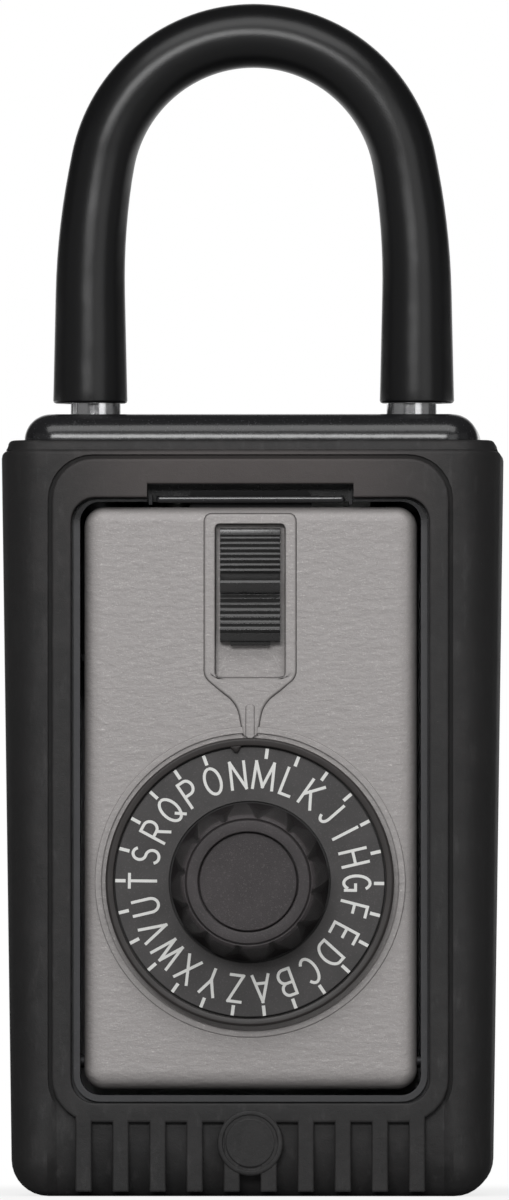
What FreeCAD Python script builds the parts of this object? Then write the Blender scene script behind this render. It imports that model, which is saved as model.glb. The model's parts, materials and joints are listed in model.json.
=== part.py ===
import FreeCAD, Part
import math
import os

# Portable key safe with a letter dial, a bottom-hinged door and a lifting shackle.
# Millimetres, +Z up, the front faces -Y, x = 0 is the middle, z = 0 is the boot's underside.

# Running and fitting clearances
fit_gap = 0.1
slide_gap = 0.3
pin_gap = 0.06
bar_gap = 0.1

# Case, the painted casting
case_width_low = 66.0
case_width_top = 67.6
case_height = 113.6
case_depth = 31.6
case_edge_radius = 5.0
case_top_radius = 3.9
case_floor_radius = 4.5
case_wall = 2.5
case_front_wall = 2.6
top_block_height = 11.4
cavity_radius = 2.0

# Boot, the rubber cover
boot_floor = 2.6
boot_side_low = 2.6
boot_side_top = 3.4
boot_front_wall = 1.7
boot_back_wall = 1.9
boot_front_radius = 6.9
boot_back_radius = 6.0
boot_floor_radius = 5.4
boot_top_radius = 1.2
case_show = 3.9
collar_height = 1.5
collar_inset = 1.1
collar_edge_radius = 0.7
pad_rise = 0.6
pad_half_width = 29.65
pad_low = 11.0
pad_top_margin = 1.1
pad_radius_low = 6.5
pad_radius_top = 6.1
pad_edge_radius = 0.35
groove_width = 0.7
groove_depth = 0.5
slot_pitch = 5.5
slot_width = 3.05
slot_count = 11
slot_bottom = 0.7
slot_reach = 4.9
medallion_radius = 4.9
medallion_height = 8.0
medallion_rise = 0.15
medallion_disc_radius = 3.7
medallion_groove = 0.4

# Door opening in the case, and its raised lip
window_half_width = 25.33
window_low = 15.05
window_top_margin = 6.6
window_radius = 3.0
lip_width = 0.95
lip_rise = 0.9
lip_gap = 0.2
notch_half_width = 15.35
notch_top_rise = 2.6
notch_depth = 1.7
notch_post_width = 0.5
notch_post_low = 0.45
notch_post_high = 1.0

# Door
door_gap_side = 0.63
door_gap_low = 0.89
door_gap_top = 0.8
door_proud = 0.2
door_depth = 13.8
door_radius = 3.0
door_pillow = 2.6
door_wall = 1.6
door_front_wall = 2.2
door_cover_thickness = 1.5
hinge_up = 4.16
hinge_back = 3.7
hinge_pin_radius = 0.9
hinge_pin_seat = 2.0
hinge_tube_radius = 2.2

# Raised shield round the slider, on the door's face
shield_rise = 0.4
shield_half_width = 6.85
shield_top_margin = 1.0
shield_height = 24.0
shield_shoulder_drop = 2.3
shield_shoulder_half = 4.1
shield_throat_drop = 4.8
shield_throat_half = 1.85
shield_stem_half = 0.75
shield_stem_drop = 9.1
ring_radius = 22.05
ring_width = 0.95
ring_rise = 0.3

# Slider
recess_half_width = 5.16
recess_height = 22.7
recess_margin = 1.6
recess_radius = 0.6
recess_depth = 1.7
slider_half_width = 4.45
slider_height = 16.9
slider_top_gap = 0.6
slider_gap = 0.15
slider_thickness = 1.7
slider_ridge_rise = 1.2
slider_lip_half = 2.95
slider_lip_drop = 0.5
slider_rib_pitch = 0.7
slider_rib_count = 8
slider_travel = 4.2
rivet_radius = 1.75
rivet_head_radius = 3.0
rivet_head_thickness = 0.9
rivet_gap = 0.25

# Bolt plate and its spring
bolt_thickness = 1.2
bolt_gap = 0.6
bolt_half_width = 9.0
bolt_neck_half = 4.0
bolt_neck_drop = 5.7
bolt_reach = 2.4
fence_width = 2.6
fence_thickness = 1.5
fence_gap = 0.5
spring_radius = 2.0
spring_wire = 0.35
spring_turns = 5
ledge_rise = 3.3
ledge_half_width = 2.4
bolt_spring_length = 13.0

# Dial and knob
dial_height = 46.7
dial_gap = 0.3
dial_radius = 21.4
dial_thickness = 2.5
dial_floor = 1.4
dial_rim_width = 1.15
letter_plate_radius = 20.0
letter_plate_thickness = 0.6
letter_plate_recess = 0.5
nib_angle = 6.0
nib_radius = 0.55
knob_radius = 12.0
knob_height = 9.5
knob_top_radius = 9.84
knob_skirt = 1.2
knob_face_radius = 9.0
knob_face_chamfer = 0.9
knob_recess_radius = 7.3
knob_recess_depth = 1.9
knob_flutes = 12
knob_flute_turn = 8.7
knob_flute_low_radius = 2.2
knob_flute_low_depth = 1.0
knob_flute_top_radius = 0.7
knob_flute_top_depth = 0.35
cap_sink = 0.5
cap_thickness = 1.2
cap_ring_radius = 5.2
cap_ring_width = 0.5
cap_ring_depth = 0.25
spindle_radius = 2.0
spindle_screw_radius = 1.1
spindle_screw_head = 3.2
spindle_screw_head_height = 1.4
spindle_screw_length = 7.0
washer_radius = 7.0

# Wheel pack behind the door's face
wheel_radius = 14.0
wheel_thickness = 1.4
wheel_rim_width = 5.0
wheel_web = 0.7
wheel_gap = 0.5
wheel_count = 3
gate_side_gap = 0.3
gate_floor_gap = 0.8
post_radius = 4.0
spacer_radius = 5.6
tab_margin = 0.6
tab_height = 0.75
tab_width = 1.2
tab_offset = 15.0
cam_clearance = 0.9
cam_thickness = 1.2
clip_radius = 3.4
clip_thickness = 0.5

# Staple that the bolt catches behind
staple_half_length = 14.0
staple_height = 1.05
staple_thickness = 1.1
staple_leg = 1.0
staple_gap = 0.4
staple_drop = 0.2
staple_leg_lift = 0.35

# Shackle
bar_radius = 3.75
leg_spacing = 47.2
leg_depth = 17.1
leg_rise = 33.2
toe_head = 2.0
toe_notch_gap = 0.2
toe_notch_depth = 1.9
heel_end_radius = 0.8
clip_groove_radius = 2.9
heel_clip_radius = 5.6
heel_clip_thickness = 1.0
heel_clip_up = 1.2
shackle_travel = 24.0
sleeve_stand = 1.9
sleeve_arch_radius = 22.9
sleeve_arch_angle = 79.0
sleeve_sweep_radius = 104.5
sleeve_radius_arch = 4.78
sleeve_radius_end = 5.55

# Shackle release plate
release_thickness = 1.2
release_bite = 1.7
release_half_width = 5.0
release_length = 35.5
release_travel = 3.0
release_tab_drop = 6.5
release_spring_length = 10.0
release_spring_back = 8.5
guide_screw_spacing = 16.0
guide_screw_radius = 1.3
guide_head_radius = 2.6
guide_head_height = 1.3
guide_screw_bite = 5.0
guide_inset = 2.95
release_gap = 0.2
finger_width = 10.0
finger_inset = 4.0
spring_post_width = 1.8

# Fasteners of the covers
cover_thickness = 2.0
cover_screw_radius = 1.2
cover_screw_head = 2.4
cover_screw_length = 9.0
cover_screw_post = 3.0
cover_screw_top_spacing = 28.0
cover_screw_low_inset = 4.0
door_screw_radius = 0.9
door_screw_head = 1.9
door_screw_length = 6.0
door_screw_post = 2.5
door_screw_inset = 3.6

# Depths from the front to the back, with y = 0 in the middle of the whole depth
front_stack = fit_gap + boot_front_wall + pad_rise + door_proud + dial_gap + dial_thickness
front_stack += knob_height - letter_plate_recess
back_stack = case_depth + fit_gap + boot_back_wall
case_front = front_stack - (front_stack + back_stack) / 2
case_back = case_front + case_depth
boot_back = case_back + fit_gap + boot_back_wall
boot_front = case_front - fit_gap - boot_front_wall
pad_front = boot_front - pad_rise
door_front = pad_front - door_proud
door_back = door_front + door_depth
door_inner = door_front + door_front_wall
door_cover_front = door_back - door_cover_thickness
dial_back = door_front - dial_gap
dial_front = dial_back - dial_thickness
dial_floor_front = dial_back - dial_floor
plate_front = dial_front + letter_plate_recess
knob_front = plate_front - knob_height
lip_front = case_front - lip_rise
cavity_front = case_front + case_front_wall
cover_front = case_back - cover_thickness
shackle_y = case_front + leg_depth

# Heights
case_low = boot_floor + fit_gap
case_top = case_low + case_height
block_low = case_top - top_block_height
cavity_low = case_low + case_wall
cavity_half_width = case_width_low / 2 - case_wall
collar_top = case_top - case_show
boot_top = collar_top - collar_height
pad_top = boot_top - pad_top_margin
window_top = pad_top - window_top_margin
door_half_width = window_half_width - door_gap_side
door_low = window_low + door_gap_low
door_top = window_top - door_gap_top
hinge_z = door_low + hinge_up
hinge_y = door_front + hinge_back
recess_top = door_top - shield_top_margin - recess_margin
recess_low = recess_top - recess_height
slider_top = recess_top - slider_top_gap
slider_low = slider_top - slider_height
slider_mid = (slider_top + slider_low) / 2
recess_floor = door_front - shield_rise + recess_depth
slider_back = recess_floor - slider_gap
slider_face = slider_back - slider_thickness
bolt_front = door_inner + bolt_gap
bolt_back = bolt_front + bolt_thickness
bolt_top = door_top + bolt_reach
fence_low = dial_height + wheel_radius + fence_gap
wheel_front = bolt_back + slide_gap
wheel_pitch = wheel_thickness + wheel_gap
wheel_pack_back = wheel_front + wheel_count * wheel_pitch
cam_front = wheel_pack_back
cam_back = cam_front + cam_thickness
clip_back = cam_back + fit_gap + clip_thickness
post_back = cam_front - fit_gap
staple_back = bolt_front - staple_gap
staple_front = staple_back - staple_thickness
staple_low = window_top - staple_drop
bolt_pocket_back = case_front + notch_depth
bolt_neck_top = slider_low - bolt_neck_drop
gate_width = fence_width + 2 * gate_side_gap
gate_depth = slider_travel + gate_floor_gap
web_radius = wheel_radius - wheel_rim_width
tab_inner_radius = spacer_radius + tab_margin
tab_outer_radius = web_radius - tab_margin
cam_radius = wheel_radius + fence_gap - slider_travel - cam_clearance
release_top = block_low - release_gap
release_low = release_top - release_thickness
toe_low = release_low - toe_notch_gap - toe_head
heel_clip_low = block_low - release_gap - shackle_travel - heel_clip_thickness
heel_low = heel_clip_low - heel_clip_up
arch_centre = case_top + leg_rise
sleeve_low = case_top + sleeve_stand
leg_x = leg_spacing / 2


def vec(x, y, z):
    return FreeCAD.Vector(x, y, z)


# Planes that an outline is drawn in: (u, v) to a point in space
def facing(y):
    return lambda u, v: vec(u, y, v)


def level(z):
    return lambda u, v: vec(u, v, z)


def sideways(x):
    return lambda u, v: vec(x, u, v)


def outline(corners, place):
    """Closed wire through corners (u, v, radius), each turned by a tangent arc."""
    edges = []
    ends = []
    count = len(corners)
    for i, (u, v, radius) in enumerate(corners):
        before = corners[i - 1]
        after = corners[(i + 1) % count]
        if radius <= 0:
            ends.append(((u, v), None, (u, v)))
            continue
        back_u = before[0] - u
        back_v = before[1] - v
        on_u = after[0] - u
        on_v = after[1] - v
        back_length = math.hypot(back_u, back_v)
        on_length = math.hypot(on_u, on_v)
        back_u /= back_length
        back_v /= back_length
        on_u /= on_length
        on_v /= on_length
        half = math.acos(back_u * on_u + back_v * on_v) / 2
        reach = radius / math.tan(half)
        mid_length = math.hypot(back_u + on_u, back_v + on_v)
        rise = radius / math.sin(half) - radius
        mid_u = u + (back_u + on_u) / mid_length * rise
        mid_v = v + (back_v + on_v) / mid_length * rise
        start = (u + back_u * reach, v + back_v * reach)
        end = (u + on_u * reach, v + on_v * reach)
        ends.append((start, (mid_u, mid_v), end))
    for i, (start, middle, end) in enumerate(ends):
        if middle:
            edges.append(Part.Arc(place(*start), place(*middle), place(*end)).toShape())
        following = ends[(i + 1) % count][0]
        if math.hypot(following[0] - end[0], following[1] - end[1]) > 1e-6:
            edges.append(Part.LineSegment(place(*end), place(*following)).toShape())
    return Part.Wire(edges)


def front_slab(corners, y_front, y_back):
    face = Part.Face(outline(corners, facing(y_front)))
    return face.extrude(vec(0, y_back - y_front, 0))


def panel(half_width, low, high, radius, y_front, y_back):
    """Upright slab with four rounded corners, centred on x = 0."""
    corners = [
        (-half_width, low, radius),
        (half_width, low, radius),
        (half_width, high, radius),
        (-half_width, high, radius),
    ]
    return front_slab(corners, y_front, y_back)


def block(x0, x1, y0, y1, z0, z1):
    return Part.makeBox(x1 - x0, y1 - y0, z1 - z0, vec(x0, y0, z0))


def rod_y(x, z, radius, y0, y1):
    return Part.makeCylinder(radius, y1 - y0, vec(x, y0, z), vec(0, 1, 0))


def rod_z(x, y, radius, z0, z1):
    return Part.makeCylinder(radius, z1 - z0, vec(x, y, z0), vec(0, 0, 1))


def rod_x(y, z, radius, x0, x1):
    return Part.makeCylinder(radius, x1 - x0, vec(x0, y, z), vec(1, 0, 0))


def ring_y(x, z, outer, inner, y0, y1):
    return rod_y(x, z, outer, y0, y1).cut(rod_y(x, z, inner, y0 - 1, y1 + 1))


def countersunk(x, z, y_head, radius, head, length):
    """Screw along +Y or -Y with its flat head at y_head; length below zero points to -Y."""
    way = 1 if length > 0 else -1
    depth = head - radius
    cone = Part.makeCone(head, radius, depth, vec(x, y_head, z), vec(0, way, 0))
    shank = Part.makeCylinder(radius, abs(length), vec(x, y_head, z), vec(0, way, 0))
    return cone.fuse(shank).removeSplitter()


def plan_section(half_width, y_front, y_back, front_radius, back_radius, z):
    corners = [
        (-half_width, y_front, front_radius),
        (half_width, y_front, front_radius),
        (half_width, y_back, back_radius),
        (-half_width, y_back, back_radius),
    ]
    return outline(corners, level(z))


def edges_at(shape, test):
    return [e for e in shape.Edges if all(test(v.Point) for v in e.Vertexes)]


def tapered(low_half, high_half, low, high, y_front, y_back):
    """Block with flat sides that lean, seen from the front as a trapezium."""
    corners = [(-low_half, low, 0), (low_half, low, 0), (high_half, high, 0), (-high_half, high, 0)]
    return front_slab(corners, y_front, y_back)


def upright_edges(shape, y):
    """Edges that run from the bottom to the top of a tapered block at depth y."""
    found = []
    for edge in edges_at(shape, lambda p: abs(p.y - y) < 1e-4):
        if abs(edge.Vertexes[0].Z - edge.Vertexes[1].Z) > 1:
            found.append(edge)
    return found


def case_body(gap, high):
    """The casting's outer form, grown by gap on its sides."""
    low_half = case_width_low / 2 + gap
    high_half = case_width_top / 2 + gap
    radius = case_edge_radius + gap
    front = case_front - gap
    back = case_back + gap
    body = tapered(low_half, high_half, case_low - gap, high, front, back)
    body = body.makeFillet(radius, upright_edges(body, front) + upright_edges(body, back))
    floor_edges = edges_at(body, lambda p: abs(p.z - case_low + gap) < 1e-4)
    return body.makeFillet(case_floor_radius + gap, floor_edges)


def make_case():
    body = case_body(0, case_top)
    rim = edges_at(body, lambda p: abs(p.z - case_top) < 1e-4)
    body = body.makeFillet(case_top_radius, rim)
    cavity = plan_section(
        cavity_half_width, cavity_front, case_back + 1, cavity_radius, cavity_radius, cavity_low
    )
    body = body.cut(Part.Face(cavity).extrude(vec(0, 0, block_low - cavity_low)))
    body = body.cut(back_slab(fit_gap))
    clip_room = heel_clip_radius + slide_gap
    body = body.cut(rod_z(-leg_x, shackle_y, clip_room, heel_low - slide_gap, block_low))
    lip = panel(
        window_half_width + lip_width,
        window_low - lip_width,
        window_top + lip_width / 2,
        window_radius + lip_width,
        lip_front,
        case_front + 1,
    )
    notch = block(
        -notch_half_width,
        notch_half_width,
        lip_front - 1,
        bolt_pocket_back,
        window_top - 1,
        window_top + notch_top_rise,
    )
    body = body.fuse(lip).cut(notch)
    body = body.cut(
        panel(window_half_width, window_low, window_top, window_radius, lip_front - 1, cavity_front + 1)
    )
    for side in (-1, 1):
        inner = notch_half_width - notch_post_width * 1.5
        edge_a = side * inner
        edge_b = side * (inner + notch_post_width)
        post = block(
            min(edge_a, edge_b),
            max(edge_a, edge_b),
            lip_front,
            bolt_pocket_back + 0.5,
            window_top - notch_post_low,
            window_top + notch_post_high,
        )
        body = body.fuse(post)
        bore = rod_z(side * leg_x, shackle_y, bar_radius + bar_gap, block_low - 1, case_top + 1)
        mouth = Part.makeCone(
            bar_radius + bar_gap,
            bar_radius + bar_gap + 1.2,
            1.2,
            vec(side * leg_x, shackle_y, case_top - 0.6),
            vec(0, 0, 1),
        )
        body = body.cut(bore).cut(mouth)
        pin_bore = rod_x(
            hinge_y,
            hinge_z,
            hinge_pin_radius + fit_gap / 2,
            min(side * window_half_width, side * (window_half_width + hinge_pin_seat)),
            max(side * window_half_width, side * (window_half_width + hinge_pin_seat)),
        )
        body = body.cut(pin_bore)
        low_x = side * (cavity_half_width - cover_screw_low_inset)
        post = rod_y(low_x, cover_screw_low_z(), cover_screw_post, cavity_front - 0.5, cover_front)
        body = body.fuse(post)
        leg = staple_leg_block(side, fit_gap / 2)
        body = body.cut(leg)
    for x, z in cover_screw_places():
        hole_end = case_back - cover_screw_length - 0.5
        body = body.cut(rod_y(x, z, cover_screw_radius + fit_gap / 2, hole_end, case_back))
    for x in guide_screw_places():
        hole_top = block_low + guide_screw_bite + 0.2
        body = body.cut(rod_z(x, shackle_y, guide_screw_radius + fit_gap / 2, block_low - 1, hole_top))
    body = body.fuse(release_spring_post())
    return body.removeSplitter()


def cover_screw_low_z():
    return cavity_low + cover_screw_post + 1.2


def cover_screw_places():
    low_x = cavity_half_width - cover_screw_low_inset
    top_x = cover_screw_top_spacing / 2
    top_z = block_low + cover_screw_post
    low_z = cover_screw_low_z()
    return [(-low_x, low_z), (low_x, low_z), (-top_x, top_z), (top_x, top_z)]


def back_slab(gap):
    """Room of the back plate: the rear slice of the case, up to the middle of its top block."""
    half = case_width_top
    return block(-half, half, cover_front, case_back + 1, 0, block_low + cover_screw_post * 2 + gap)


def make_back_plate():
    plate = case_body(0, case_top).common(back_slab(0))
    for x, z in cover_screw_places():
        plate = plate.cut(back_screw(x, z, fit_gap / 2))
    return plate


def back_screw(x, z, gap):
    return countersunk(x, z, case_back, cover_screw_radius + gap, cover_screw_head + gap, -cover_screw_length)


def make_back_plate_screws():
    return [back_screw(x, z, 0) for x, z in cover_screw_places()]


# Staple
def staple_leg_block(side, gap):
    inner = staple_half_length - staple_leg - gap
    outer = staple_half_length + gap
    low = staple_low + staple_leg_lift - gap
    high = staple_low + staple_height + gap
    return block(
        min(side * inner, side * outer),
        max(side * inner, side * outer),
        staple_front + staple_thickness / 2,
        cavity_front + gap,
        low,
        high,
    )


def make_staple():
    half = staple_height / 2 - 0.01
    corners = [
        (-staple_half_length, staple_low, half),
        (staple_half_length, staple_low, half),
        (staple_half_length, staple_low + staple_height, half),
        (-staple_half_length, staple_low + staple_height, half),
    ]
    bar = front_slab(corners, staple_front, staple_back)
    legs = bar
    for side in (-1, 1):
        legs = legs.fuse(staple_leg_block(side, 0))
    return legs.removeSplitter()


# Boot
def boot_body():
    low_half = case_width_low / 2 + fit_gap + boot_side_low
    top_half = case_width_top / 2 + fit_gap + boot_side_top
    body = tapered(low_half, top_half, 0, boot_top, boot_front, boot_back)
    body = body.makeFillet(boot_front_radius, upright_edges(body, boot_front))
    body = body.makeFillet(boot_back_radius, upright_edges(body, boot_back))
    floor_edges = edges_at(body, lambda p: abs(p.z) < 1e-4)
    body = body.makeFillet(boot_floor_radius, floor_edges)
    top_edges = edges_at(body, lambda p: abs(p.z - boot_top) < 1e-4)
    body = body.makeFillet(boot_top_radius, top_edges)
    collar = plan_section(
        top_half - collar_inset,
        boot_front + collar_inset,
        boot_back - collar_inset,
        boot_front_radius - collar_inset,
        boot_back_radius - collar_inset,
        boot_top - 2,
    )
    band = Part.Face(collar).extrude(vec(0, 0, collar_top - boot_top + 2))
    upper_edges = edges_at(band, lambda p: abs(p.z - collar_top) < 1e-4)
    return body.fuse(band.makeFillet(collar_edge_radius, upper_edges))


def pad_corners(grow):
    half = pad_half_width + grow
    low = pad_low - grow
    top = pad_top + grow
    return [
        (-half, low, pad_radius_low + grow),
        (half, low, pad_radius_low + grow),
        (half, top, pad_radius_top + grow),
        (-half, top, pad_radius_top + grow),
    ]


def rib_places():
    """Middles of the ribs that stand between the slots."""
    first = -(slot_count - 2) / 2
    return [(first + i) * slot_pitch for i in range(slot_count - 1)]


def slot_trough():
    """Curved hollow across the lower front edge, that the ribs stand in."""
    half = slot_count // 2 * slot_pitch + slot_width / 2
    high = pad_low
    start = sideways(-half)
    curve = Part.Arc(
        start(boot_front, high),
        start(boot_front + slot_reach * 0.18, high * 0.52),
        start(boot_front + slot_reach, 0),
    ).toShape()
    low_front = start(boot_front - 2, 0)
    high_front = start(boot_front - 2, high)
    lines = [
        Part.LineSegment(start(boot_front + slot_reach, 0), low_front).toShape(),
        Part.LineSegment(low_front, high_front).toShape(),
        Part.LineSegment(high_front, start(boot_front, high)).toShape(),
    ]
    return Part.Face(Part.Wire([curve] + lines)).extrude(vec(2 * half, 0, 0))


def make_boot():
    body = boot_body()
    grown = front_slab(pad_corners(groove_width), boot_front - 1, boot_front + groove_depth)
    core = front_slab(pad_corners(0), boot_front - 2, boot_front + groove_depth + 1)
    body = body.cut(grown.cut(core))
    body = body.cut(slot_trough())
    pad = front_slab(pad_corners(0), pad_front, boot_front + 1)
    rim = edges_at(pad, lambda p: abs(p.y - pad_front) < 1e-4)
    pad = pad.makeFillet(pad_edge_radius, rim)
    body = body.fuse(pad)
    rib_half = (slot_pitch - slot_width) / 2
    ribs = []
    for x in rib_places():
        corners = [
            (pad_front, slot_bottom, pad_edge_radius),
            (boot_front + slot_reach + 1, slot_bottom, 0),
            (boot_front + 1.2, pad_low + 1, 0),
            (pad_front, pad_low + 1, 0),
        ]
        face = Part.Face(outline(corners, sideways(x - rib_half)))
        ribs.append(face.extrude(vec(2 * rib_half, 0, 0)))
    body = body.fuse(ribs)
    front = pad_front - medallion_rise
    medallion = rod_y(0, medallion_height, medallion_radius, front, boot_front + slot_reach)
    outer = medallion_disc_radius + medallion_groove
    ring = ring_y(0, medallion_height, outer, medallion_disc_radius, front - 1, front + medallion_groove)
    body = body.fuse(medallion).cut(ring)
    body = body.cut(case_body(fit_gap, case_top + fit_gap))
    opening_half = window_half_width + lip_width + lip_gap
    opening_low = window_low - lip_width - lip_gap
    opening_top = window_top + lip_width / 2 + lip_gap
    radius = window_radius + lip_width + lip_gap
    body = body.cut(panel(opening_half, opening_low, opening_top, radius, pad_front - 1, case_front + 1))
    body = body.cut(
        block(
            -notch_half_width,
            notch_half_width,
            pad_front - 1,
            case_front + 1,
            window_top - 1,
            window_top + notch_top_rise,
        )
    )
    return body.removeSplitter()


# Door
def shield_corners():
    top = door_top - shield_top_margin
    low = top - shield_height
    half = shield_half_width
    side = [
        (half, top, 0.8),
        (half, low, 1.2),
        (shield_shoulder_half, low - shield_shoulder_drop, 1.5),
        (shield_throat_half, low - shield_throat_drop, 1.5),
        (shield_stem_half, low - shield_stem_drop, 0),
    ]
    mirrored = [(-u, v, radius) for u, v, radius in reversed(side)]
    return side + mirrored


def door_screw_places():
    x = door_half_width - door_wall - door_screw_inset
    low = door_low + door_wall + door_screw_inset + hinge_up
    high = door_top - door_wall - door_screw_inset
    return [(-x, low), (x, low), (-x, high), (x, high)]


def door_screw(x, z, gap):
    return countersunk(x, z, door_back, door_screw_radius + gap, door_screw_head + gap, -door_screw_length)


def slider_slot(half):
    low = slider_mid - slider_travel - half
    high = slider_mid + half
    return panel(half, low, high, half - 0.01, door_front - 2, door_inner + 1)


def make_door_shell():
    shell = panel(door_half_width, door_low, door_top, door_radius, door_front, door_back)
    front_edges = edges_at(shell, lambda p: abs(p.y - door_front) < 1e-4)
    shell = shell.makeFillet(door_pillow, front_edges)
    cavity = panel(
        door_half_width - door_wall,
        door_low + door_wall,
        door_top - door_wall,
        door_radius - door_wall / 2,
        door_inner,
        door_back + 1,
    )
    shell = shell.cut(cavity)
    shield = front_slab(shield_corners(), door_front - shield_rise, door_inner)
    ring = ring_y(0, dial_height, ring_radius + ring_width, ring_radius, door_front - ring_rise, door_inner)
    post = rod_y(0, dial_height, post_radius, door_inner - 0.5, post_back)
    shell = shell.fuse([shield, ring, post])
    for side in (-1, 1):
        guide_inner = bolt_half_width + slide_gap
        edge_a = side * guide_inner
        edge_b = side * (guide_inner + 1.2)
        guide = block(
            min(edge_a, edge_b),
            max(edge_a, edge_b),
            door_inner - 0.5,
            bolt_back,
            bolt_neck_top,
            door_top - door_wall / 2,
        )
        shell = shell.fuse(guide)
    for x, z in door_screw_places():
        shell = shell.fuse(rod_y(x, z, door_screw_post, door_inner - 0.5, door_cover_front))
        hole_end = door_back - door_screw_length - 0.5
        shell = shell.cut(rod_y(x, z, door_screw_radius + fit_gap / 2, hole_end, door_back))
    inner_half = door_half_width - door_wall / 2
    shell = shell.fuse(rod_x(hinge_y, hinge_z, hinge_tube_radius, -inner_half, inner_half))
    web = block(-inner_half, inner_half, hinge_y - 0.6, hinge_y + 0.6, door_low + door_wall / 2, hinge_z)
    shell = shell.fuse(web)
    shell = shell.cut(
        rod_x(hinge_y, hinge_z, hinge_pin_radius + pin_gap, -door_half_width - 1, door_half_width + 1)
    )
    recess = panel(
        recess_half_width, recess_low, recess_top, recess_radius, door_front - 2, recess_floor
    )
    shell = shell.cut(recess)
    shell = shell.cut(slider_slot(rivet_radius + rivet_gap))
    shell = shell.cut(rod_y(0, dial_height, spindle_radius + pin_gap, door_front - 2, post_back + 1))
    bolt_slot = block(
        -bolt_half_width - slide_gap / 2,
        bolt_half_width + slide_gap / 2,
        bolt_front - slide_gap / 2,
        bolt_back + slide_gap / 2,
        door_top - door_wall - 1,
        door_top + 1,
    )
    return shell.cut(bolt_slot).removeSplitter()


def make_door_cover():
    cover = panel(
        door_half_width - door_wall - fit_gap,
        door_low + door_wall + fit_gap,
        door_top - door_wall - fit_gap,
        door_radius - door_wall / 2,
        door_cover_front,
        door_back,
    )
    for x, z in door_screw_places():
        cover = cover.cut(door_screw(x, z, fit_gap / 2))
    ledge_z = spring_seat()
    ledge = block(
        -ledge_half_width,
        ledge_half_width,
        bolt_back + slide_gap,
        door_cover_front + 0.5,
        ledge_z - 1.2,
        ledge_z,
    )
    bearing = rod_y(0, dial_height, spindle_radius + 1.4, clip_back + fit_gap, door_cover_front + 0.5)
    cover = cover.fuse([ledge, bearing])
    return cover.cut(rod_y(0, dial_height, spindle_radius + pin_gap, clip_back, door_cover_front + 0.5))


def make_door_cover_screws():
    return [door_screw(x, z, 0) for x, z in door_screw_places()]


def spring_seat():
    return fence_low + fence_thickness + ledge_rise


def spring_y():
    return bolt_back + slide_gap + spring_radius + spring_wire


# Slider
def make_slider_button():
    """Thumb slider: flat ribbed back plate with a convex ridge in the middle."""
    profile = [
        (slider_back, slider_low, 0),
        (slider_back, slider_top, 0),
        (slider_face, slider_top, 0.4),
        (slider_face, slider_mid + 3.1, 1.0),
        (slider_face - slider_ridge_rise, slider_mid + 0.6, 0.5),
        (slider_face - slider_ridge_rise, slider_mid - 0.9, 0.4),
        (slider_face, slider_mid - 1.6, 0),
        (slider_face, slider_low, 0.4),
    ]
    face = Part.Face(outline(profile, sideways(-slider_half_width)))
    button = face.extrude(vec(2 * slider_half_width, 0, 0))
    lip = panel(
        slider_lip_half,
        slider_low - slider_lip_drop,
        slider_low + 1,
        0.3,
        slider_face + 0.2,
        slider_back,
    )
    button = button.fuse(lip)
    grooves = []
    depth = slider_rib_pitch / 2
    starts = (slider_top - 1.5, slider_mid - 2.4)
    for start, way in zip(starts, (-1, -1)):
        for i in range(slider_rib_count):
            z = start + way * i * slider_rib_pitch
            corners = [
                (slider_face - 0.5, z - depth, 0),
                (slider_face + depth, z, 0),
                (slider_face - 0.5, z + depth, 0),
            ]
            cutter = Part.Face(outline(corners, sideways(-slider_half_width - 1)))
            grooves.append(cutter.extrude(vec(2 * slider_half_width + 2, 0, 0)))
    button = button.cut(grooves[0].multiFuse(grooves[1:]))
    hole = rod_y(0, slider_mid, rivet_radius + fit_gap / 2, slider_face + 0.6, slider_back + 1)
    return button.cut(hole)


def make_slider_rivet():
    shank = rod_y(0, slider_mid, rivet_radius, slider_face + 0.7, bolt_back)
    head = rod_y(0, slider_mid, rivet_head_radius, bolt_back, bolt_back + rivet_head_thickness)
    rim = edges_at(head, lambda p: p.y > bolt_back + rivet_head_thickness - 1e-4)
    return shank.fuse(head.makeFillet(0.5, rim)).removeSplitter()


def make_bolt_plate():
    """Sheet bolt: nose through the door's top, neck down to a fence bent back over the wheels."""
    corners = [
        (bolt_half_width, bolt_top, 0.8),
        (bolt_half_width, bolt_neck_top + slider_travel + 1, 1.0),
        (bolt_neck_half, bolt_neck_top + slider_travel - 1, 1.0),
        (bolt_neck_half, fence_low, 0),
        (-bolt_neck_half, fence_low, 0),
        (-bolt_neck_half, bolt_neck_top + slider_travel - 1, 1.0),
        (-bolt_half_width, bolt_neck_top + slider_travel + 1, 1.0),
        (-bolt_half_width, bolt_top, 0.8),
    ]
    plate = front_slab(corners, bolt_front, bolt_back)
    fence = block(
        -fence_width / 2,
        fence_width / 2,
        bolt_front,
        wheel_pack_back - wheel_gap,
        fence_low,
        fence_low + fence_thickness,
    )
    seat_z = spring_seat() + bolt_spring_length
    seat = block(
        -ledge_half_width,
        ledge_half_width,
        bolt_front,
        spring_y() + spring_radius,
        seat_z,
        seat_z + bolt_thickness,
    )
    plate = plate.fuse([fence, seat])
    return plate.cut(rod_y(0, slider_mid, rivet_radius + fit_gap / 2, bolt_front - 1, bolt_back + 1))


def coil(radius, wire, length, turns, start, direction):
    """Open spring with its ends at start and start + length along direction."""
    pitch = (length - 2 * wire) / turns
    helix = Part.makeHelix(pitch, length - 2 * wire, radius)
    section = Part.Wire([Part.makeCircle(wire, vec(radius, 0, 0), vec(0, 1, pitch / (2 * math.pi * radius)))])
    body = Part.Wire(helix).makePipeShell([section], True, True)
    body.Placement = FreeCAD.Placement(
        start + direction * wire, FreeCAD.Rotation(vec(0, 0, 1), direction)
    )
    return body


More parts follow.
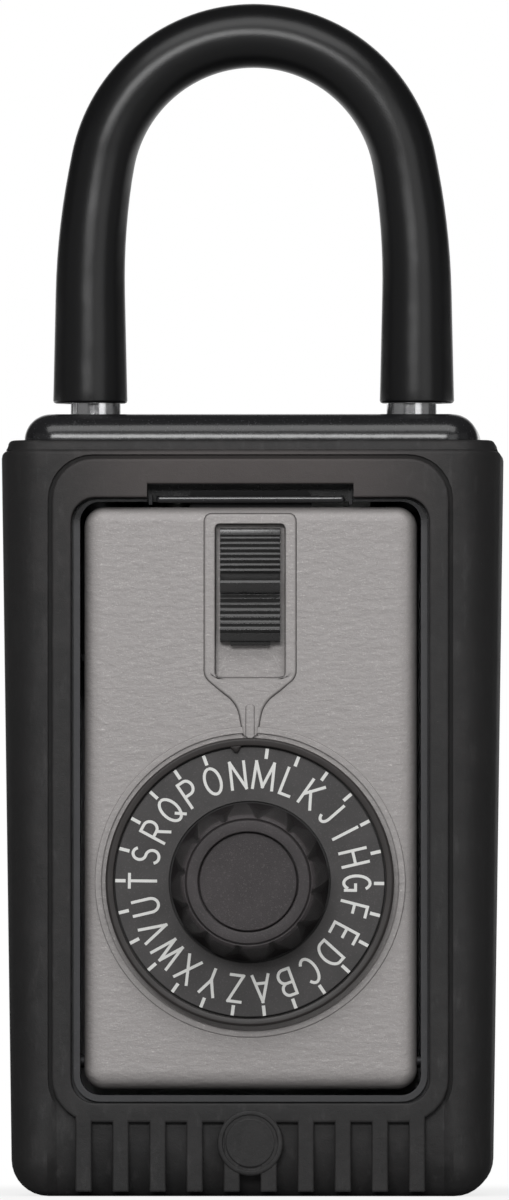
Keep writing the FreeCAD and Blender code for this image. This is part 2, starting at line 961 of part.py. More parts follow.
def make_bolt_spring():
    start = vec(0, spring_y(), spring_seat() + fit_gap)
    length = bolt_spring_length - 2 * fit_gap
    return coil(spring_radius, spring_wire, length, spring_turns, start, vec(0, 0, 1))


# Dial, knob and spindle
def revolved(profile, z):
    """Solid of revolution about the dial's axis from corners (radius, y)."""
    points = [vec(r, y, z) for r, y in profile]
    face = Part.Face(Part.makePolygon(points + [points[0]]))
    return face.revolve(vec(0, 0, z), vec(0, 1, 0), 360)


def make_dial_cup():
    rim_inner = dial_radius - dial_rim_width
    chamfer = 0.45
    profile = [
        (spindle_radius + fit_gap / 2, dial_back),
        (dial_radius - chamfer, dial_back),
        (dial_radius, dial_back - chamfer),
        (dial_radius, dial_front + chamfer),
        (dial_radius - chamfer, dial_front),
        (rim_inner, dial_front),
        (rim_inner, dial_floor_front),
        (spindle_radius + fit_gap / 2, dial_floor_front),
    ]
    cup = revolved(profile, dial_height)
    angle = math.radians(nib_angle)
    reach = dial_radius - dial_rim_width / 2
    x = -reach * math.sin(angle)
    z = dial_height + reach * math.cos(angle)
    return cup.fuse(rod_y(x, z, nib_radius, dial_front - nib_radius / 2, dial_front + 0.5))


def make_letter_plate():
    hole = knob_radius - 2
    back = plate_front + letter_plate_thickness
    return ring_y(0, dial_height, letter_plate_radius, hole, plate_front, back)


def make_knob():
    flank_low = plate_front - knob_skirt
    flank_high = knob_front + knob_face_chamfer
    seat = dial_floor_front
    floor = knob_front + knob_recess_depth
    head_floor = floor + spindle_screw_head_height + 0.1
    profile = [
        (spindle_radius + fit_gap / 2, seat),
        (knob_radius - 2 - fit_gap, seat),
        (knob_radius - 2 - fit_gap, plate_front),
        (knob_radius, plate_front),
        (knob_radius, flank_low),
        (knob_top_radius, flank_high),
        (knob_face_radius, knob_front),
        (knob_recess_radius, knob_front),
        (knob_recess_radius, floor),
        (spindle_screw_head + fit_gap, floor),
        (spindle_screw_head + fit_gap, head_floor),
        (spindle_radius + fit_gap / 2, head_floor),
    ]
    knob = revolved(profile, dial_height)
    low_reach = knob_radius + knob_flute_low_radius - knob_flute_low_depth
    top_reach = knob_top_radius + knob_flute_top_radius - knob_flute_top_depth
    cutters = []
    for i in range(knob_flutes):
        turn = math.radians(knob_flute_turn + i * 360 / knob_flutes)
        out = vec(math.sin(turn), 0, math.cos(turn))
        low = vec(0, plate_front, dial_height) + out * low_reach
        top = vec(0, flank_high, dial_height) + out * top_reach
        along = top - low
        shrink = (knob_flute_low_radius - knob_flute_top_radius) / along.Length
        length = along.Length + knob_face_chamfer
        end_radius = knob_flute_low_radius - shrink * length
        cutters.append(Part.makeCone(knob_flute_low_radius, end_radius, length, low, along))
    return knob.cut(cutters[0].multiFuse(cutters[1:]))


def make_knob_cap():
    front = knob_front + cap_sink
    radius = knob_recess_radius - fit_gap
    cap = rod_y(0, dial_height, radius, front, front + cap_thickness)
    groove = ring_y(
        0, dial_height, cap_ring_radius, cap_ring_radius - cap_ring_width, front - 1, front + cap_ring_depth
    )
    return cap.cut(groove)


def screw_seat():
    return knob_front + knob_recess_depth + spindle_screw_head_height + 0.1


def make_knob_screw():
    head = rod_y(
        0, dial_height, spindle_screw_head, screw_seat() - spindle_screw_head_height, screw_seat()
    )
    shank = rod_y(0, dial_height, spindle_screw_radius, screw_seat(), screw_seat() + spindle_screw_length)
    return head.fuse(shank).removeSplitter()


def make_spindle():
    front = screw_seat() + fit_gap
    shaft = rod_y(0, dial_height, spindle_radius, front, door_cover_front)
    bore_end = screw_seat() + spindle_screw_length + 0.5
    bore = rod_y(0, dial_height, spindle_screw_radius + fit_gap / 2, front - 1, bore_end)
    groove = ring_y(0, dial_height, spindle_radius + 1, spindle_radius - 0.4, cam_back + fit_gap, clip_back)
    return shaft.cut(bore).cut(groove)


def make_dial_washer():
    return ring_y(
        0, dial_height, washer_radius, spindle_radius + 0.3, door_front - dial_gap + 0.05, door_front
    )


def make_drive_cam():
    disc = ring_y(0, dial_height, cam_radius, spindle_radius + fit_gap / 2, cam_front, cam_back)
    return disc.fuse(pick_up_tab(cam_front - tab_height * 0.85, cam_front + 0.3, 0))


def make_spindle_clip():
    inner = spindle_radius - 0.4 + fit_gap / 2
    ring = ring_y(0, dial_height, clip_radius, inner, cam_back + fit_gap + 0.02, clip_back - 0.02)
    mouth = block(
        -spindle_radius * 0.7,
        spindle_radius * 0.7,
        cam_back,
        clip_back + 1,
        dial_height - clip_radius - 1,
        dial_height - 0.8,
    )
    return ring.cut(mouth)


def pick_up_tab(y0, y1, turn):
    """Raised peg on a wheel or the cam, at an angle in degrees from straight down."""
    tab = block(
        -tab_width / 2,
        tab_width / 2,
        y0,
        y1,
        dial_height - tab_outer_radius,
        dial_height - tab_inner_radius,
    )
    tab.rotate(vec(0, 0, dial_height), vec(0, 1, 0), turn)
    return tab


def make_wheel(index):
    front = wheel_front + index * wheel_pitch
    back = front + wheel_thickness
    web_front = front + (wheel_thickness - wheel_web) / 2
    web_back = web_front + wheel_web
    bore = post_radius + pin_gap
    profile = [
        (bore, web_front),
        (web_radius, web_front),
        (web_radius, front),
        (wheel_radius, front),
        (wheel_radius, back),
        (web_radius, back),
        (web_radius, web_back),
        (bore, web_back),
    ]
    wheel = revolved(profile, dial_height)
    gate = block(
        -gate_width / 2,
        gate_width / 2,
        front - 1,
        back + 1,
        dial_height + wheel_radius - gate_depth,
        dial_height + wheel_radius + 1,
    )
    wheel = wheel.cut(gate)
    if index > 0:
        turn = tab_offset * (2 * index + 1)
        wheel = wheel.fuse(pick_up_tab(web_front - tab_height, web_front + wheel_web / 2, turn))
    back_turn = tab_offset
    if index < wheel_count - 1:
        back_turn = tab_offset * (2 * index + 2)
    return wheel.fuse(pick_up_tab(web_back - wheel_web / 2, web_back + tab_height, back_turn))


def make_wheel_spacers():
    """Still washers on the post between the wheels' webs."""
    spacers = []
    for i in range(wheel_count - 1):
        web_back = wheel_front + i * wheel_pitch + (wheel_thickness + wheel_web) / 2
        space = wheel_pitch - wheel_web
        spacers.append(
            ring_y(
                0,
                dial_height,
                spacer_radius,
                post_radius + fit_gap / 2,
                web_back + fit_gap,
                web_back + space - fit_gap,
            )
        )
    return spacers


# Shackle
def bar_solid(radius, heel_z, toe_z):
    heel = rod_z(-leg_x, shackle_y, radius, heel_z, arch_centre)
    toe = rod_z(leg_x, shackle_y, radius, toe_z, arch_centre)
    circle = Part.makeCircle(radius, vec(leg_x, shackle_y, arch_centre), vec(0, 0, 1))
    arch = Part.Face(Part.Wire([circle])).revolve(vec(0, shackle_y, arch_centre), vec(0, -1, 0), 180)
    return heel.fuse([arch, toe]).removeSplitter()


def make_shackle_bar():
    bar = bar_solid(bar_radius, heel_low, toe_low)
    notch_low = toe_low + toe_head
    notch = block(
        leg_x - bar_radius - 1,
        leg_x - bar_radius + toe_notch_depth,
        shackle_y - bar_radius - 1,
        shackle_y + bar_radius + 1,
        notch_low,
        notch_low + release_thickness + 2 * toe_notch_gap,
    )
    groove_low = heel_clip_low - fit_gap / 2
    groove_top = heel_clip_low + heel_clip_thickness + fit_gap / 2
    groove = rod_z(-leg_x, shackle_y, bar_radius + 1, groove_low, groove_top)
    groove = groove.cut(rod_z(-leg_x, shackle_y, clip_groove_radius, groove_low - 1, groove_top + 1))
    ends = edges_at(bar, lambda p: p.z < heel_low + 1e-4 or abs(p.z - toe_low) < 1e-4)
    bar = bar.makeFillet(heel_end_radius, ends)
    return bar.cut(notch).cut(groove)


def make_shackle_clip():
    low = heel_clip_low
    top = low + heel_clip_thickness
    inner = clip_groove_radius + fit_gap / 2
    ring = rod_z(-leg_x, shackle_y, heel_clip_radius, low, top)
    ring = ring.cut(rod_z(-leg_x, shackle_y, inner, low - 1, top + 1))
    half = inner * 0.7
    reach = heel_clip_radius + 1
    mouth = block(-leg_x - reach, -leg_x, shackle_y - half, shackle_y + half, low - 1, top + 1)
    return ring.cut(mouth)


def sleeve_sections():
    """Circles along the sleeve's line: arch, long gentle sweep, straight leg; thicker towards the ends."""
    arch = math.radians(sleeve_arch_angle)
    sweep = math.pi / 2 - arch
    top = arch_centre + leg_x - sleeve_arch_radius
    sweep_height = sleeve_sweep_radius * math.sin(sweep)
    end_x = sleeve_arch_radius * math.sin(arch) + sleeve_sweep_radius * (1 - math.cos(sweep))
    sweep_low = top + sleeve_arch_radius * math.cos(arch) - sweep_height
    stations = []
    for z in (sleeve_low, (sleeve_low + sweep_low) / 2, sweep_low):
        stations.append((end_x, z, 0.0))
    for share in (1 / 3, 2 / 3):
        turn = sweep * share
        x = end_x - sleeve_sweep_radius * (1 - math.cos(turn))
        stations.append((x, sweep_low + sleeve_sweep_radius * math.sin(turn), turn))
    steps = 6
    for i in range(steps):
        turn = sweep + arch * i / steps
        x = sleeve_arch_radius * math.cos(turn)
        stations.append((x, top + sleeve_arch_radius * math.sin(turn), turn))
    right = [(x, z, turn) for x, z, turn in stations]
    middle = [(0.0, top + sleeve_arch_radius, math.pi / 2)]
    left = [(-x, z, math.pi - turn) for x, z, turn in reversed(stations)]
    wires = []
    for x, z, turn in right + middle + left:
        share = min(1.0, max(0.0, (top + 3 - z) / (top + 3 - sleeve_low)))
        radius = sleeve_radius_arch + (sleeve_radius_end - sleeve_radius_arch) * share
        circle = Part.makeCircle(radius)
        circle.rotate(vec(0, 0, 0), vec(0, 0, 1), 90)
        circle.rotate(vec(0, 0, 0), vec(0, 1, 0), -math.degrees(turn))
        circle.translate(vec(x, shackle_y, z))
        wires.append(Part.Wire([circle]))
    return wires


def make_shackle_sleeve():
    sleeve = Part.makeLoft(sleeve_sections(), True, False)
    return sleeve.cut(bar_solid(bar_radius + 0.03, sleeve_low - 5, sleeve_low - 5))


# Shackle release
def release_right():
    return leg_x - bar_radius + release_bite


def guide_screw_places():
    first = release_right() - release_length + guide_inset
    return [first, first + guide_screw_spacing]


def make_release_plate():
    """Sheet slide under the top block; its tongue sits in the toe leg's notch."""
    right = release_right()
    left = right - release_length
    plate = block(
        left,
        right,
        shackle_y - release_half_width,
        shackle_y + release_half_width,
        release_low,
        release_top,
    )
    arm = block(
        left,
        left + 3,
        shackle_y,
        shackle_y + release_spring_back + spring_radius,
        release_low,
        release_top,
    )
    tab = block(
        left,
        left + release_thickness,
        shackle_y + release_spring_back - spring_radius,
        shackle_y + release_spring_back + spring_radius,
        release_low - release_tab_drop,
        release_top,
    )
    finger = block(
        right - finger_inset - finger_width,
        right - finger_inset,
        shackle_y - release_half_width,
        shackle_y - release_half_width + release_thickness,
        release_low - release_tab_drop,
        release_top,
    )
    plate = plate.fuse([arm, tab, finger])
    for x in guide_screw_places():
        half = guide_screw_radius + 0.2
        slot = block(x - half, x + half + release_travel, shackle_y - half, shackle_y + half, 0, case_top)
        plate = plate.cut(slot)
    return plate.removeSplitter()


def release_spring_z():
    return release_low - spring_radius - spring_wire - 0.3


def release_spring_post():
    """Lug under the block that the release spring pushes from."""
    right = release_right() - release_length - release_spring_length
    left = right - spring_post_width
    y = shackle_y + release_spring_back
    low = release_spring_z() - spring_radius
    return block(left, right, y - spring_radius, y + spring_radius, low, block_low + 0.5)


def make_release_spring():
    left = release_right() - release_length - release_spring_length
    start = vec(left + fit_gap, shackle_y + release_spring_back, release_spring_z())
    return coil(
        spring_radius, spring_wire, release_spring_length - 2 * fit_gap, spring_turns, start, vec(1, 0, 0)
    )


def make_release_guide_screws():
    screws = []
    for x in guide_screw_places():
        seat = release_low - release_gap
        shank = rod_z(x, shackle_y, guide_screw_radius, seat, block_low + guide_screw_bite)
        head = rod_z(x, shackle_y, guide_head_radius, seat - guide_head_height, seat)
        screws.append(shank.fuse(head).removeSplitter())
    return screws


def make_hinge_pin():
    half = window_half_width + hinge_pin_seat - fit_gap
    return rod_x(hinge_y, hinge_z, hinge_pin_radius, -half, half)


def write(name, shape):
    if isinstance(shape, list):
        shape = Part.makeCompound(shape)
    if not shape.isValid():
        print("not valid:", name)
    shape.exportStep("parts/" + name + ".step")
    print(name, len(shape.Solids), round(shape.Volume, 1))


def main():
    os.makedirs("parts", exist_ok=True)
    write("case", make_case())
    write("back_plate", make_back_plate())
    write("back_plate_screws", make_back_plate_screws())
    write("latch_staple", make_staple())
    write("hinge_pin", make_hinge_pin())
    write("rubber_boot", make_boot())
    write("door_shell", make_door_shell())
    write("door_cover", make_door_cover())
    write("door_cover_screws", make_door_cover_screws())
    write("slider_button", make_slider_button())
    write("slider_rivet", make_slider_rivet())
    write("bolt_plate", make_bolt_plate())
    write("bolt_spring", make_bolt_spring())
    write("dial_cup", make_dial_cup())
    write("letter_plate", make_letter_plate())
    write("knob", make_knob())
    write("knob_cap", make_knob_cap())
    write("knob_screw", make_knob_screw())
    write("spindle", make_spindle())
    write("dial_washer", make_dial_washer())
    write("drive_cam", make_drive_cam())
    write("spindle_clip", make_spindle_clip())
    for index in range(wheel_count):
        write("wheel_" + str(index + 1), make_wheel(index))
    write("wheel_spacers", make_wheel_spacers())
    write("shackle_bar", make_shackle_bar())
    write("shackle_clip", make_shackle_clip())
    write("shackle_sleeve", make_shackle_sleeve())
    write("release_plate", make_release_plate())
    write("release_spring", make_release_spring())
    write("release_guide_screws", make_release_guide_screws())


main()
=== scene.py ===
"""Looks of a portable key safe: rubber boot, enamelled case, painted door, letter dial and shackle."""

import json
import math

import bmesh
import bpy
import numpy as np
from bpy.props import FloatProperty, FloatVectorProperty, IntProperty, PointerProperty
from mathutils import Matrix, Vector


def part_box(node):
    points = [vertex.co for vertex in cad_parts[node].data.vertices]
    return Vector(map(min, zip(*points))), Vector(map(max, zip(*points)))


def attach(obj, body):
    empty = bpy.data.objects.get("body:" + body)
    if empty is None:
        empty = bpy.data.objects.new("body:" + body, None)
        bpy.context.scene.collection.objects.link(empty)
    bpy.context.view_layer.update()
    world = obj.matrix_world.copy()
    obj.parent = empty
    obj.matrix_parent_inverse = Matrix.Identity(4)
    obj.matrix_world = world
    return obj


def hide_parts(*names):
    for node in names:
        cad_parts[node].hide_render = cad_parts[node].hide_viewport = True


bl_info = {
    "name": "Portable key safe",
    "version": (1, 0, 0),
    "blender": (4, 5, 0),
    "location": "3D View > Sidebar > Key safe",
    "description": "Builds the skins, finishes and stage of a portable key safe round its packed frame",
    "category": "Object",
}

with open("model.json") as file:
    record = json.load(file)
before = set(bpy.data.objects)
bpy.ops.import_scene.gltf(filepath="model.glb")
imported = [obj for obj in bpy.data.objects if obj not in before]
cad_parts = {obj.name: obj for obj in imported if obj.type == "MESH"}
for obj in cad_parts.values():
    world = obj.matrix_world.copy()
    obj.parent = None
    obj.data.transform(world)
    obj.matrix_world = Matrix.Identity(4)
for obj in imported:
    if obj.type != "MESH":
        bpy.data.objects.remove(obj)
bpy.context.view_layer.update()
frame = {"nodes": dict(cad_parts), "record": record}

mm = 0.001


def span(node, axis):
    """Lowest and highest place of a frame node along an axis, 0 to 2, in metres."""
    low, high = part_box(node)
    return low[axis], high[axis]


boot_top_z = span("rubber_boot", 2)[1]
boot_back_y = span("rubber_boot", 1)[1]
case_top_z = span("case", 2)[1]
dial_z = sum(span("letter_plate", 2)) / 2
plate_y = span("letter_plate", 1)[0]
dial_front_y = plate_y - 0.5 * mm
dial_back_y = span("dial_cup", 1)[1]
door_low_z, door_top_z = span("door_shell", 2)
door_back_y = span("door_shell", 1)[1]
shackle_y = sum(span("shackle_bar", 1)) / 2
leg_x = span("shackle_bar", 0)[1] - 3.75 * mm
slider_low_z, slider_top_z = span("slider_button", 2)
slider_back_y = span("slider_button", 1)[1]
cap_y = span("knob_cap", 1)[0]
knob_front_y = span("knob", 1)[0]


def size(name, description, value):
    """A length property with its default in millimetres."""
    return FloatProperty(
        name=name, description=description, default=value * mm, unit="LENGTH", precision=5
    )


def colour(name, description, value):
    return FloatVectorProperty(
        name=name, description=description, default=value, subtype="COLOR", size=3, min=0, max=1
    )


class BootSizes(bpy.types.PropertyGroup):
    half_low: size("Half width, foot", "Half width of the boot at its foot", 35.6)
    half_top: size("Half width, top", "Half width of the boot under its top edge", 37.2)
    front: size("Front", "Place of the front face", -11.4)
    pad_front: size("Pad front", "Place of the raised pad's face", -12.0)
    groove_floor: size("Groove floor", "Place of the groove's floor", -10.9)
    lining_front: size("Lining front", "Inner face behind the front wall", -9.7)
    lining_back: size("Lining back", "Inner face before the back wall", 22.1)
    floor_radius: size("Foot rounding", "Rounding under the foot", 5.4)
    back_radius: size("Back rounding", "Rounding of the rear upright edges", 6.0)
    pad_half: size("Pad half width", "Half width of the raised pad", 29.45)
    pad_low: size("Pad foot", "Lower edge of the pad", 11.0)
    pad_top: size("Pad top", "Upper edge of the pad", 109.55)
    pad_radius_low: size("Pad lower corners", "Radius of the pad's lower corners", 6.5)
    pad_radius_top: size("Pad upper corners", "Radius of the pad's upper corners", 6.1)
    window_half: size("Window half width", "Half width of the opening in the pad", 26.6)
    window_low: size("Window foot", "Lower edge of the opening", 13.9)
    window_top: size("Window top", "Upper edge of the opening", 103.8)
    window_radius: size("Window corners", "Radius of the opening's corners", 3.6)
    notch_half: size("Notch half width", "Half width of the notch over the door", 15.35)
    notch_rise: size("Notch rise", "Height of the notch above the opening", 2.0)
    groove: size("Groove width", "Width of the groove round the pad", 0.62)
    slot_pitch: size("Slot pitch", "Distance from slot to slot at the foot", 5.5)
    slot_width: size("Slot width", "Width of a slot at the foot", 3.05)
    slot_count: IntProperty(name="Slots", description="Slots at the foot", default=11, min=3)
    medallion_z: size("Medallion height", "Middle of the round medallion", 8.0)
    medallion_radius: size("Medallion radius", "Radius of the round medallion", 4.9)
    paint: colour("Rubber", "Colour of the rubber", (0.027, 0.0262, 0.0265))


class DoorSizes(bpy.types.PropertyGroup):
    half: size("Half width", "Half width of the door", 24.7)
    radius: size("Corner radius", "Radius of the door's corners", 3.0)
    front: size("Front", "Place of the door's face", -12.2)
    pillow: size("Pillow", "Rounding round the door's face", 2.9)
    wall: size("Wall", "Thickness of the door's rim", 1.6)
    recess_half: size("Recess half width", "Half width of the slider's recess", 5.16)
    recess_low: size("Recess foot", "Lower end of the slider's recess", 77.1)
    recess_top: size("Recess top", "Upper end of the slider's recess", 99.8)
    recess_floor: size("Recess floor", "Place of the recess's floor", -10.9)
    shield_half: size("Shield half width", "Half width of the raised shield", 6.85)
    shield_rise: size("Shield rise", "Height of the shield over the door", 0.4)
    ring_radius: size("Ring radius", "Inner radius of the raised ring", 22.05)
    ring_width: size("Ring width", "Width of the raised ring", 0.95)
    paint: colour("Paint", "Colour of the door's paint", (0.385, 0.364, 0.358))
    enamel: colour("Enamel", "Colour of the case's enamel", (0.012, 0.012, 0.013))


class DialSizes(bpy.types.PropertyGroup):
    radius: size("Radius", "Radius of the dial", 21.4)
    plate_radius: size("Plate radius", "Radius of the letter plate", 20.0)
    tick_inner: size("Tick start", "Inner end of a tick", 18.42)
    tick_outer: size("Tick end", "Outer end of a tick", 19.95)
    tick_width: size("Tick width", "Width of a tick", 0.5)
    letter_inner: size("Letter foot", "Radius of the letters' feet", 13.72)
    letter_height: size("Letter height", "Height of the letters", 4.35)
    knob_radius: size("Knob radius", "Radius of the knob at its foot", 11.7)
    knob_top_radius: size("Knob top radius", "Radius of the knob at its upper edge", 10.0)
    knob_flutes: IntProperty(name="Flutes", description="Flutes round the knob", default=12, min=3)
    plastic: colour("Rim", "Colour of the dial's rim", (0.030, 0.026, 0.025))
    plate: colour("Plate", "Colour of the letter plate", (0.052, 0.049, 0.049))
    letters: colour("Letters", "Colour of the letters", (0.72, 0.72, 0.70))
    knob: colour("Knob", "Colour of the knob", (0.040, 0.0345, 0.036))


class ShackleSizes(bpy.types.PropertyGroup):
    arch_radius: size("Arch radius", "Radius of the sleeve's arch", 22.9)
    arch_angle: FloatProperty(
        name="Arch angle", description="Half angle of the arch", default=math.radians(79), unit="ROTATION"
    )
    sweep_radius: size("Sweep radius", "Radius of the gentle bend under the arch", 104.5)
    radius_arch: size("Sleeve radius, arch", "Radius of the sleeve on the arch", 4.78)
    radius_end: size("Sleeve radius, end", "Radius of the sleeve at its ends", 5.55)
    stand: size("Bare steel", "Bare steel between the case and the sleeve", 1.9)
    bar_radius: size("Bar radius", "Radius of the steel bar", 3.75)
    vinyl: colour("Vinyl", "Colour of the sleeve", (0.006, 0.006, 0.0064))


class StageSizes(bpy.types.PropertyGroup):
    distance: FloatProperty(
        name="Camera distance", description="From the object to the camera", default=3.0, unit="LENGTH"
    )
    azimuth: FloatProperty(
        name="Camera turn", description="Turn of the camera to the right", default=math.radians(1.5), unit="ROTATION"
    )
    height: size("Camera height", "Height of the level camera", 46.7)
    pixel: size("Pixel", "Size of a photo pixel at the object", 0.149)
    light: FloatProperty(name="Light", description="Share of the lamps' full strength", default=1.0, min=0)


# Meshes from grids
def grid_faces(rows, columns, close_rows=False, close_columns=False, skip=None):
    """Corner numbers of the quads between a grid's neighbouring points; skip masks quads out."""
    i = np.arange(rows if close_rows else rows - 1)
    j = np.arange(columns if close_columns else columns - 1)
    a, b = np.meshgrid(i, j, indexing="ij")
    if skip is not None:
        keep = ~skip[: a.shape[0], : a.shape[1]]
        a, b = a[keep], b[keep]
    a, b = a.ravel(), b.ravel()
    after_a, after_b = (a + 1) % rows, (b + 1) % columns
    return np.stack([a * columns + b, after_a * columns + b, after_a * columns + after_b, a * columns + after_b], 1)


class Patch:
    """A grid of points (rows, columns, 3), with the way it closes, the quads that it leaves out and the painted shade,
    0 to 1, on its rows or points: darkening where shade falls in gaps, grooves, recesses and round edges."""

    def __init__(self, points, close_rows=False, close_columns=False, skip=None, flip=False, grime=0.0):
        self.points = np.asarray(points, float)
        rows, columns = self.points.shape[:2]
        faces = grid_faces(rows, columns, close_rows, close_columns, skip)
        self.faces = faces[:, ::-1] if flip else faces
        grime = np.asarray(grime, float)
        self.grime = np.broadcast_to(grime[:, None] if grime.ndim == 1 else grime, (rows, columns))


def mesh_of(name, patches, weld=2e-6):
    """One mesh of several patches, with coincident points welded, which closes seams and poles."""
    starts = np.cumsum([0] + [patch.grime.size for patch in patches])
    points = np.concatenate([patch.points.reshape(-1, 3) for patch in patches])
    faces = np.concatenate([patch.faces + start for patch, start in zip(patches, starts)])
    mesh = bpy.data.meshes.new(name)
    mesh.from_pydata(points.tolist(), [], faces.tolist())
    # painted shade, carried on the points as an attribute
    layer = mesh.attributes.new("grime", "FLOAT", "POINT")
    layer.data.foreach_set("value", np.concatenate([patch.grime.ravel() for patch in patches]))
    work = bmesh.new()
    work.from_mesh(mesh)
    bmesh.ops.remove_doubles(work, verts=work.verts, dist=weld)
    bmesh.ops.dissolve_degenerate(work, edges=work.edges, dist=weld / 4)
    work.to_mesh(mesh)
    work.free()
    return mesh


def new_piece(mesh, body, material, replaces=(), sharp=40.0, weighted=True):
    """A finished piece: smooth shading with edges sharp past an angle, or flat, its finish and body."""
    mesh.polygons.foreach_set("use_smooth", np.full(len(mesh.polygons), sharp > 0))
    mesh.set_sharp_from_angle(angle=math.radians(sharp))
    piece = bpy.data.objects.new(mesh.name, mesh)
    bpy.context.scene.collection.objects.link(piece)
    mesh.materials.clear()
    mesh.materials.append(material)
    if weighted:
        evened = piece.modifiers.new("even shading", "WEIGHTED_NORMAL")
        evened.keep_sharp = True
    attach(piece, body)
    if replaces:
        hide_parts(*replaces)
    return piece


def smooth_copy(node, name, body, material, sharp=30.0):
    """A frame node's own shape, welded and with flat faces joined, so that curved faces shade smoothly."""
    mesh = frame["nodes"][node].data.copy()
    mesh.name = name
    work = bmesh.new()
    work.from_mesh(mesh)
    bmesh.ops.remove_doubles(work, verts=work.verts, dist=2e-6)
    bmesh.ops.dissolve_limit(work, angle_limit=math.radians(0.3), verts=work.verts, edges=work.edges)
    work.to_mesh(mesh)
    work.free()
    return new_piece(mesh, body, material, (node,), sharp)


def revolve(profile, turns, centre=(0.0, 0.0), start=0.0):
    """Points (radius, y) of a profile carried round the Y axis through (x, z), in so many steps."""
    profile = np.asarray(profile, float)
    angle = start + np.arange(turns) / turns * 2 * math.pi
    radius = profile[:, :1]
    x = centre[0] + radius * np.sin(angle)
    z = centre[1] + radius * np.cos(angle)
    y = np.broadcast_to(profile[:, 1:2], x.shape)
    return np.stack([x, y, z], 2)


def rounded(corners, steps=5):
    """Open line through corners (u, v, radius), each turned by a tangent arc of a few points."""
    corners = np.asarray(corners, float)
    line = [corners[0, :2]]
    for before, corner, after in zip(corners[:-2], corners[1:-1], corners[2:]):
        if corner[2] <= 0:
            line.append(corner[:2])
            continue
        back = before[:2] - corner[:2]
        on = after[:2] - corner[:2]
        back /= np.linalg.norm(back)
        on /= np.linalg.norm(on)
        half = math.acos(np.clip(back @ on, -1, 1)) / 2
        reach = corner[2] / math.tan(half)
        middle = corner[:2] + (back + on) / np.linalg.norm(back + on) * corner[2] / math.sin(half)
        start = corner[:2] + back * reach - middle
        end = corner[:2] + on * reach - middle
        turn = math.atan2(start[0] * end[1] - start[1] * end[0], start @ end)
        for share in np.linspace(0, 1, steps + 1):
            c, s = math.cos(turn * share), math.sin(turn * share)
            line.append(middle + np.array([c * start[0] - s * start[1], s * start[0] + c * start[1]]))
    line.append(corners[-1, :2])
    return np.array(line)


# Loops seen from the front: rounded rectangles whose points keep the same order
low_angles = (0, 12, 24, 26.4, 35.1, 35.4, 48, 60, 72, 82, 90)
low_split = 3
top_angles = (0, 14, 28, 40, 50, 60, 70, 80, 90)
top_split = 4
low_fractions = np.linspace(-0.75, 0.75, 7)
top_fractions = np.array([-0.85, -0.668, -0.6668, -0.5, -0.3, -0.12, 0, 0.12, 0.3, 0.5, 0.6668, 0.668, 0.85])
side_fractions = np.linspace(-0.8, 0.8, 9)
low_count = 2 * (len(low_angles) - low_split) + len(low_fractions)
side_count = low_split + len(side_fractions) + top_split


def loop_order():
    """Rows (kind, x sign, z sign, angle, fraction): kind 0 is a corner arc, 1 the foot or top, 2 a side."""
    rows = []

    def arc(sx, sz, angles):
        rows.extend((0, sx, sz, math.radians(a), 0) for a in angles)

    def straight(kind, sx, sz, fractions):
        rows.extend((kind, sx, sz, 0, f) for f in fractions)

    arc(-1, -1, low_angles[low_split:])
    straight(1, 1, -1, low_fractions)
    arc(1, -1, low_angles[::-1])
    straight(2, 1, 0, side_fractions)
    arc(1, 1, top_angles)
    straight(1, 1, 1, top_fractions[::-1])
    arc(-1, 1, top_angles[::-1])
    straight(2, -1, 0, side_fractions[::-1])
    arc(-1, -1, low_angles[:low_split])
    return np.array(rows, float)


order = loop_order()


def front_loop(half, low, top, radius_low, radius_top):
    """Points (x, z) of a rounded rectangle, anticlockwise seen from the front, in the steady order."""
    kind, sx, sz, angle, fraction = order.T
    radius = np.where(sz > 0, radius_top, radius_low)
    straight = half - radius
    x = np.where(kind == 0, sx * (straight + radius * np.cos(angle)), np.where(kind == 1, fraction * straight, sx * half))
    edge = np.where(sz > 0, top - radius_top, low + radius_low)
    low_end, high_end = low + radius_low, top - radius_top
    along = (low_end + high_end) / 2 + fraction * (high_end - low_end) / 2
    z = np.where(kind == 0, edge + sz * radius * np.sin(angle), np.where(kind == 1, np.where(sz > 0, top, low), along))
    return np.stack([x, z], 1)


def at_depth(loop, y):
    """A front loop (x, z) as points in space at depth y, which may differ from point to point."""
    return np.stack([loop[:, 0], np.broadcast_to(y, len(loop)), loop[:, 1]], 1)


# Finishes
class Value:
    """A shader socket. Sums, products and powers of values and numbers add Math nodes."""

    def __init__(self, nodes, socket):
        self.nodes = nodes
        self.socket = socket

    def _math(self, operation, first, second):
        return self.nodes.node("ShaderNodeMath", {"operation": operation}, {0: first, 1: second})[0]

    def __add__(self, other):
        return self._math("ADD", self, other)

    def __radd__(self, other):
        return self._math("ADD", other, self)

    def __sub__(self, other):
        return self._math("SUBTRACT", self, other)

    def __rsub__(self, other):
        return self._math("SUBTRACT", other, self)

    def __mul__(self, other):
        return self._math("MULTIPLY", self, other)

    def __rmul__(self, other):
        return self._math("MULTIPLY", other, self)

    def __pow__(self, other):
        return self._math("POWER", self, other)


class Outputs:
    """A node's outputs as values."""

    def __init__(self, nodes, node):
        self.nodes = nodes
        self.node = node

    def __getitem__(self, key):
        return Value(self.nodes, self.node.outputs[key])


